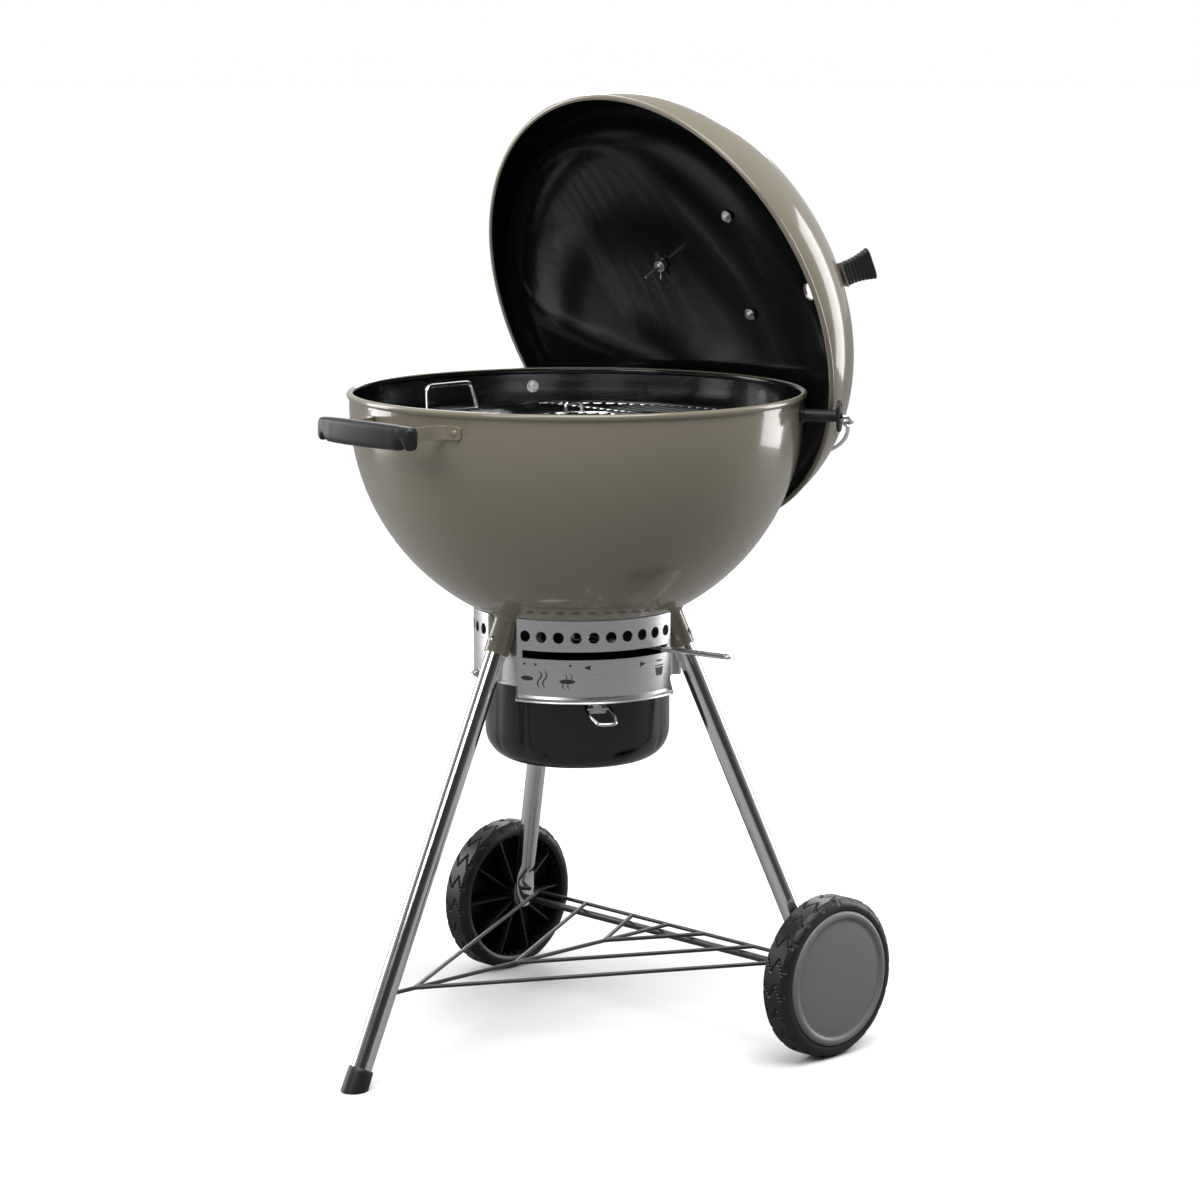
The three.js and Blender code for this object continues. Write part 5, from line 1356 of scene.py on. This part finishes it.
# ---------------------------------------------------------------- stage
def build_world(scene):
    """White behind the grill; a dimmer room with a dark side at the front for the shiny pieces to mirror."""
    world = bpy.data.worlds.new("studio")
    scene.world = world
    world.use_nodes = True
    nodes, links = world.node_tree.nodes, world.node_tree.links
    room = nodes["Background"]
    white = nodes.new("ShaderNodeBackground")
    white.inputs["Color"].default_value = (1, 1, 1, 1)
    white.inputs["Strength"].default_value = 1.0
    place = nodes.new("ShaderNodeTexCoord")
    facing = nodes.new("ShaderNodeVectorMath")
    facing.operation = "DOT_PRODUCT"
    facing.inputs[1].default_value = (-0.68, -0.70, 0.22)
    links.new(place.outputs["Generated"], facing.inputs[0])
    ramp = nodes.new("ShaderNodeValToRGB")
    stops = ramp.color_ramp.elements
    stops[0].position, stops[0].color = 0.0, (0.55, 0.55, 0.55, 1)
    stops[1].position, stops[1].color = 1.0, (0.03, 0.03, 0.03, 1)
    for position, level in ((0.45, 0.50), (0.62, 0.26), (0.80, 0.08)):
        stop = stops.new(position)
        stop.color = (level, level, level, 1)
    half = nodes.new("ShaderNodeMath")
    half.operation = "MULTIPLY_ADD"
    half.inputs[1].default_value = half.inputs[2].default_value = 0.5
    links.new(facing.outputs["Value"], half.inputs[0])
    links.new(half.outputs[0], ramp.inputs[0])
    links.new(ramp.outputs[0], room.inputs["Color"])
    path = nodes.new("ShaderNodeLightPath")
    mix = nodes.new("ShaderNodeMixShader")
    links.new(path.outputs["Is Camera Ray"], mix.inputs[0])
    links.new(room.outputs[0], mix.inputs[1])
    links.new(white.outputs[0], mix.inputs[2])
    links.new(mix.outputs[0], nodes["World Output"].inputs["Surface"])


def build_floor(scene):
    """Pale round floor, dimmer where the grill mirrors it."""
    mesh = bpy.data.meshes.new("floor")
    steps = 64
    rings = (2.0, 6.0, 20.0, 60.0)
    verts = [(0, 0, 0)] + [(r * math.cos(2 * PI * k / steps), r * math.sin(2 * PI * k / steps), 0)
                           for r in rings for k in range(steps)]
    faces = [(0, 1 + k, 1 + (k + 1) % steps) for k in range(steps)]
    for row in range(len(rings) - 1):
        a, b = 1 + row * steps, 1 + (row + 1) * steps
        faces += [(a + k, b + k, b + (k + 1) % steps, a + (k + 1) % steps) for k in range(steps)]
    mesh.from_pydata(verts, [], faces)
    floor = bpy.data.objects.new("studio_floor", mesh)
    scene.collection.objects.link(floor)
    colour = tuple(scene.kettle_grill_colours.floor)
    paper = finish("floor paper", colour, 0.6, patch=0.6, grain=200, spread=0.01, rough_spread=0.05)
    nodes, links = paper.node_tree.nodes, paper.node_tree.links
    dim = nodes.new("ShaderNodeBsdfPrincipled")
    dim.inputs["Base Color"].default_value = shaded(colour, 0.22)
    dim.inputs["Roughness"].default_value = 0.8
    path, mix = nodes.new("ShaderNodeLightPath"), nodes.new("ShaderNodeMixShader")
    links.new(path.outputs["Is Camera Ray"], mix.inputs[0])
    links.new(dim.outputs[0], mix.inputs[1])
    links.new(nodes["Principled BSDF"].outputs[0], mix.inputs[2])
    links.new(mix.outputs[0], nodes["Material Output"].inputs["Surface"])
    mesh.materials.append(paper)


def place(scene, name, data, spot, direction):
    """Puts a lamp or the camera at a spot, facing a direction."""
    obj = bpy.data.objects.new(name, data)
    obj.location = spot
    obj.rotation_euler = direction.to_track_quat("-Z", "Y").to_euler()
    scene.collection.objects.link(obj)
    return obj


def build_lights(scene):
    """A wide soft sun and four soft boxes round the grill."""
    sun = bpy.data.lights.new("overhead", "SUN")
    sun.energy = 3.0
    sun.angle = math.radians(50)
    place(scene, "overhead", sun, (0, 0, 0), Vector((0.16, 0.30, -1)))
    target = Vector((AXIS_X, 0, 0.62))
    for name, spot, size, power in (("left_box", (-1.15, 2.65, 1.2), (1.1, 2.4), 44),
                                    ("right_box", (2.75, -1.05, 1.2), (1.1, 2.4), 40),
                                    ("front_left", (-3.2, -0.6, 2.6), (1.4, 1.4), 34),
                                    ("back_box", (2.9, 2.6, 2.2), (1.8, 1.2), 30)):
        box = bpy.data.lights.new(name, "AREA")
        box.shape = "RECTANGLE"
        box.size, box.size_y = size
        box.energy = power
        place(scene, name, box, spot, target - Vector(spot))


def build_camera(scene):
    azimuth, pitch = math.radians(44.10), math.radians(9.39)
    level = math.cos(pitch)
    forward = Vector((math.sin(azimuth) * level, math.cos(azimuth) * level, -math.sin(pitch)))
    lens = bpy.data.cameras.new("camera")
    lens.sensor_width = 36
    lens.lens = 106.5
    lens.clip_end = 200
    scene.camera = place(scene, "camera", lens, (AXIS_X - 3.041, -3.179, 1.286), forward)


def build_stage():
    scene = bpy.context.scene
    scene.view_settings.view_transform = "Standard"
    build_floor(scene)
    build_world(scene)
    build_lights(scene)
    build_camera(scene)


# ---------------------------------------------------------------- operators
class GRILL_OT_stage(bpy.types.Operator):
    """Floor, soft studio light and camera"""
    bl_idname = "kettle_grill.stage"
    bl_label = "Stage"

    def execute(self, context):
        build_stage()
        return {"FINISHED"}


class GRILL_OT_bowl(bpy.types.Operator):
    """Enamelled bowl with its rolled rim and vents"""
    bl_idname = "kettle_grill.bowl"
    bl_label = "Bowl"

    def execute(self, context):
        build_bowl()
        return {"FINISHED"}


class GRILL_OT_bowl_handle(bpy.types.Operator):
    """Strap and grip of the bowl handle"""
    bl_idname = "kettle_grill.bowl_handle"
    bl_label = "Bowl handle"

    def execute(self, context):
        build_bowl_handle()
        return {"FINISHED"}


class GRILL_OT_sockets(bpy.types.Operator):
    """Leg sockets and their screws"""
    bl_idname = "kettle_grill.sockets"
    bl_label = "Leg sockets"

    def execute(self, context):
        build_sockets()
        return {"FINISHED"}


class GRILL_OT_legs(bpy.types.Operator):
    """Leg tubes and foot cap"""
    bl_idname = "kettle_grill.legs"
    bl_label = "Legs"

    def execute(self, context):
        build_legs()
        return {"FINISHED"}


class GRILL_OT_axle(bpy.types.Operator):
    """Axle, brackets and push nuts"""
    bl_idname = "kettle_grill.axle"
    bl_label = "Axle"

    def execute(self, context):
        build_axle()
        return {"FINISHED"}


class GRILL_OT_wheels(bpy.types.Operator):
    """Wheels with tread and hubcaps"""
    bl_idname = "kettle_grill.wheels"
    bl_label = "Wheels"

    def execute(self, context):
        build_wheels()
        return {"FINISHED"}


class GRILL_OT_rack(bpy.types.Operator):
    """Wire rack between the legs"""
    bl_idname = "kettle_grill.rack"
    bl_label = "Wire rack"

    def execute(self, context):
        build_rack()
        return {"FINISHED"}


class GRILL_OT_ash_ring(bpy.types.Operator):
    """Ash ring with its air holes, lever slot, marks and wing nuts"""
    bl_idname = "kettle_grill.ash_ring"
    bl_label = "Ash ring"

    def execute(self, context):
        build_ash_ring()
        return {"FINISHED"}


class GRILL_OT_ash_pot(bpy.types.Operator):
    """Ash pot with its wire handle"""
    bl_idname = "kettle_grill.ash_pot"
    bl_label = "Ash pot"

    def execute(self, context):
        build_ash_pot()
        return {"FINISHED"}


class GRILL_OT_sweeper(bpy.types.Operator):
    """Sweeper lever and nut"""
    bl_idname = "kettle_grill.sweeper"
    bl_label = "Sweeper lever"

    def execute(self, context):
        build_sweeper()
        return {"FINISHED"}


class GRILL_OT_charcoal_grate(bpy.types.Operator):
    """Charcoal grate"""
    bl_idname = "kettle_grill.charcoal_grate"
    bl_label = "Charcoal grate"

    def execute(self, context):
        build_charcoal_grate()
        return {"FINISHED"}


class GRILL_OT_cooking_grate(bpy.types.Operator):
    """Cooking grate, its flaps and its round insert"""
    bl_idname = "kettle_grill.cooking_grate"
    bl_label = "Cooking grate"

    def execute(self, context):
        build_cooking_grate()
        return {"FINISHED"}


class GRILL_OT_lid_holder(bpy.types.Operator):
    """Standoffs, nuts and wire hoop that hold the lid"""
    bl_idname = "kettle_grill.lid_holder"
    bl_label = "Lid holder"

    def execute(self, context):
        build_lid_holder()
        return {"FINISHED"}


class GRILL_OT_lid(bpy.types.Operator):
    """Lid dome with its handle and heat shield"""
    bl_idname = "kettle_grill.lid"
    bl_label = "Lid"

    def execute(self, context):
        build_lid()
        return {"FINISHED"}


class GRILL_OT_damper(bpy.types.Operator):
    """Damper plate, grip and rivet"""
    bl_idname = "kettle_grill.damper"
    bl_label = "Damper"

    def execute(self, context):
        build_damper()
        return {"FINISHED"}


class GRILL_OT_thermometer(bpy.types.Operator):
    """Thermometer, its stem and wing nut"""
    bl_idname = "kettle_grill.thermometer"
    bl_label = "Thermometer"

    def execute(self, context):
        build_thermometer()
        return {"FINISHED"}


class GRILL_OT_kept_nodes(bpy.types.Operator):
    """Finishes for the CAD solids that stay"""
    bl_idname = "kettle_grill.kept_nodes"
    bl_label = "Blades and ledges"

    def execute(self, context):
        paint_kept_nodes()
        return {"FINISHED"}


STEPS = (GRILL_OT_stage, GRILL_OT_bowl, GRILL_OT_bowl_handle, GRILL_OT_sockets, GRILL_OT_legs, GRILL_OT_axle,
         GRILL_OT_wheels, GRILL_OT_rack, GRILL_OT_ash_ring, GRILL_OT_ash_pot, GRILL_OT_sweeper,
         GRILL_OT_charcoal_grate, GRILL_OT_cooking_grate, GRILL_OT_lid_holder, GRILL_OT_lid, GRILL_OT_damper,
         GRILL_OT_thermometer, GRILL_OT_kept_nodes)


class GRILL_PT_panel(bpy.types.Panel):
    """Lists the grill's sizes, colours and build steps"""
    bl_idname = "GRILL_PT_panel"
    bl_label = "Kettle Grill"
    bl_space_type = "VIEW_3D"
    bl_region_type = "UI"
    bl_category = "Kettle Grill"

    def draw(self, context):
        layout = self.layout
        for group in (context.scene.kettle_grill_sizes, context.scene.kettle_grill_colours):
            for name in group.__annotations__:
                layout.prop(group, name)
        for step in STEPS:
            layout.operator(step.bl_idname)


CLASSES = (GrillSizes, GrillColours, *STEPS, GRILL_PT_panel)


def register():
    for cls in CLASSES:
        bpy.utils.register_class(cls)
    bpy.types.Scene.kettle_grill_sizes = PointerProperty(type=GrillSizes)
    bpy.types.Scene.kettle_grill_colours = PointerProperty(type=GrillColours)


def unregister():
    del bpy.types.Scene.kettle_grill_colours
    del bpy.types.Scene.kettle_grill_sizes
    for cls in reversed(CLASSES):
        bpy.utils.unregister_class(cls)


def main():
    register()
    for step in STEPS:
        group, name = step.bl_idname.split(".")
        getattr(getattr(bpy.ops, group), name)()
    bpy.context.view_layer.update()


if __name__ == "__main__":
    main()
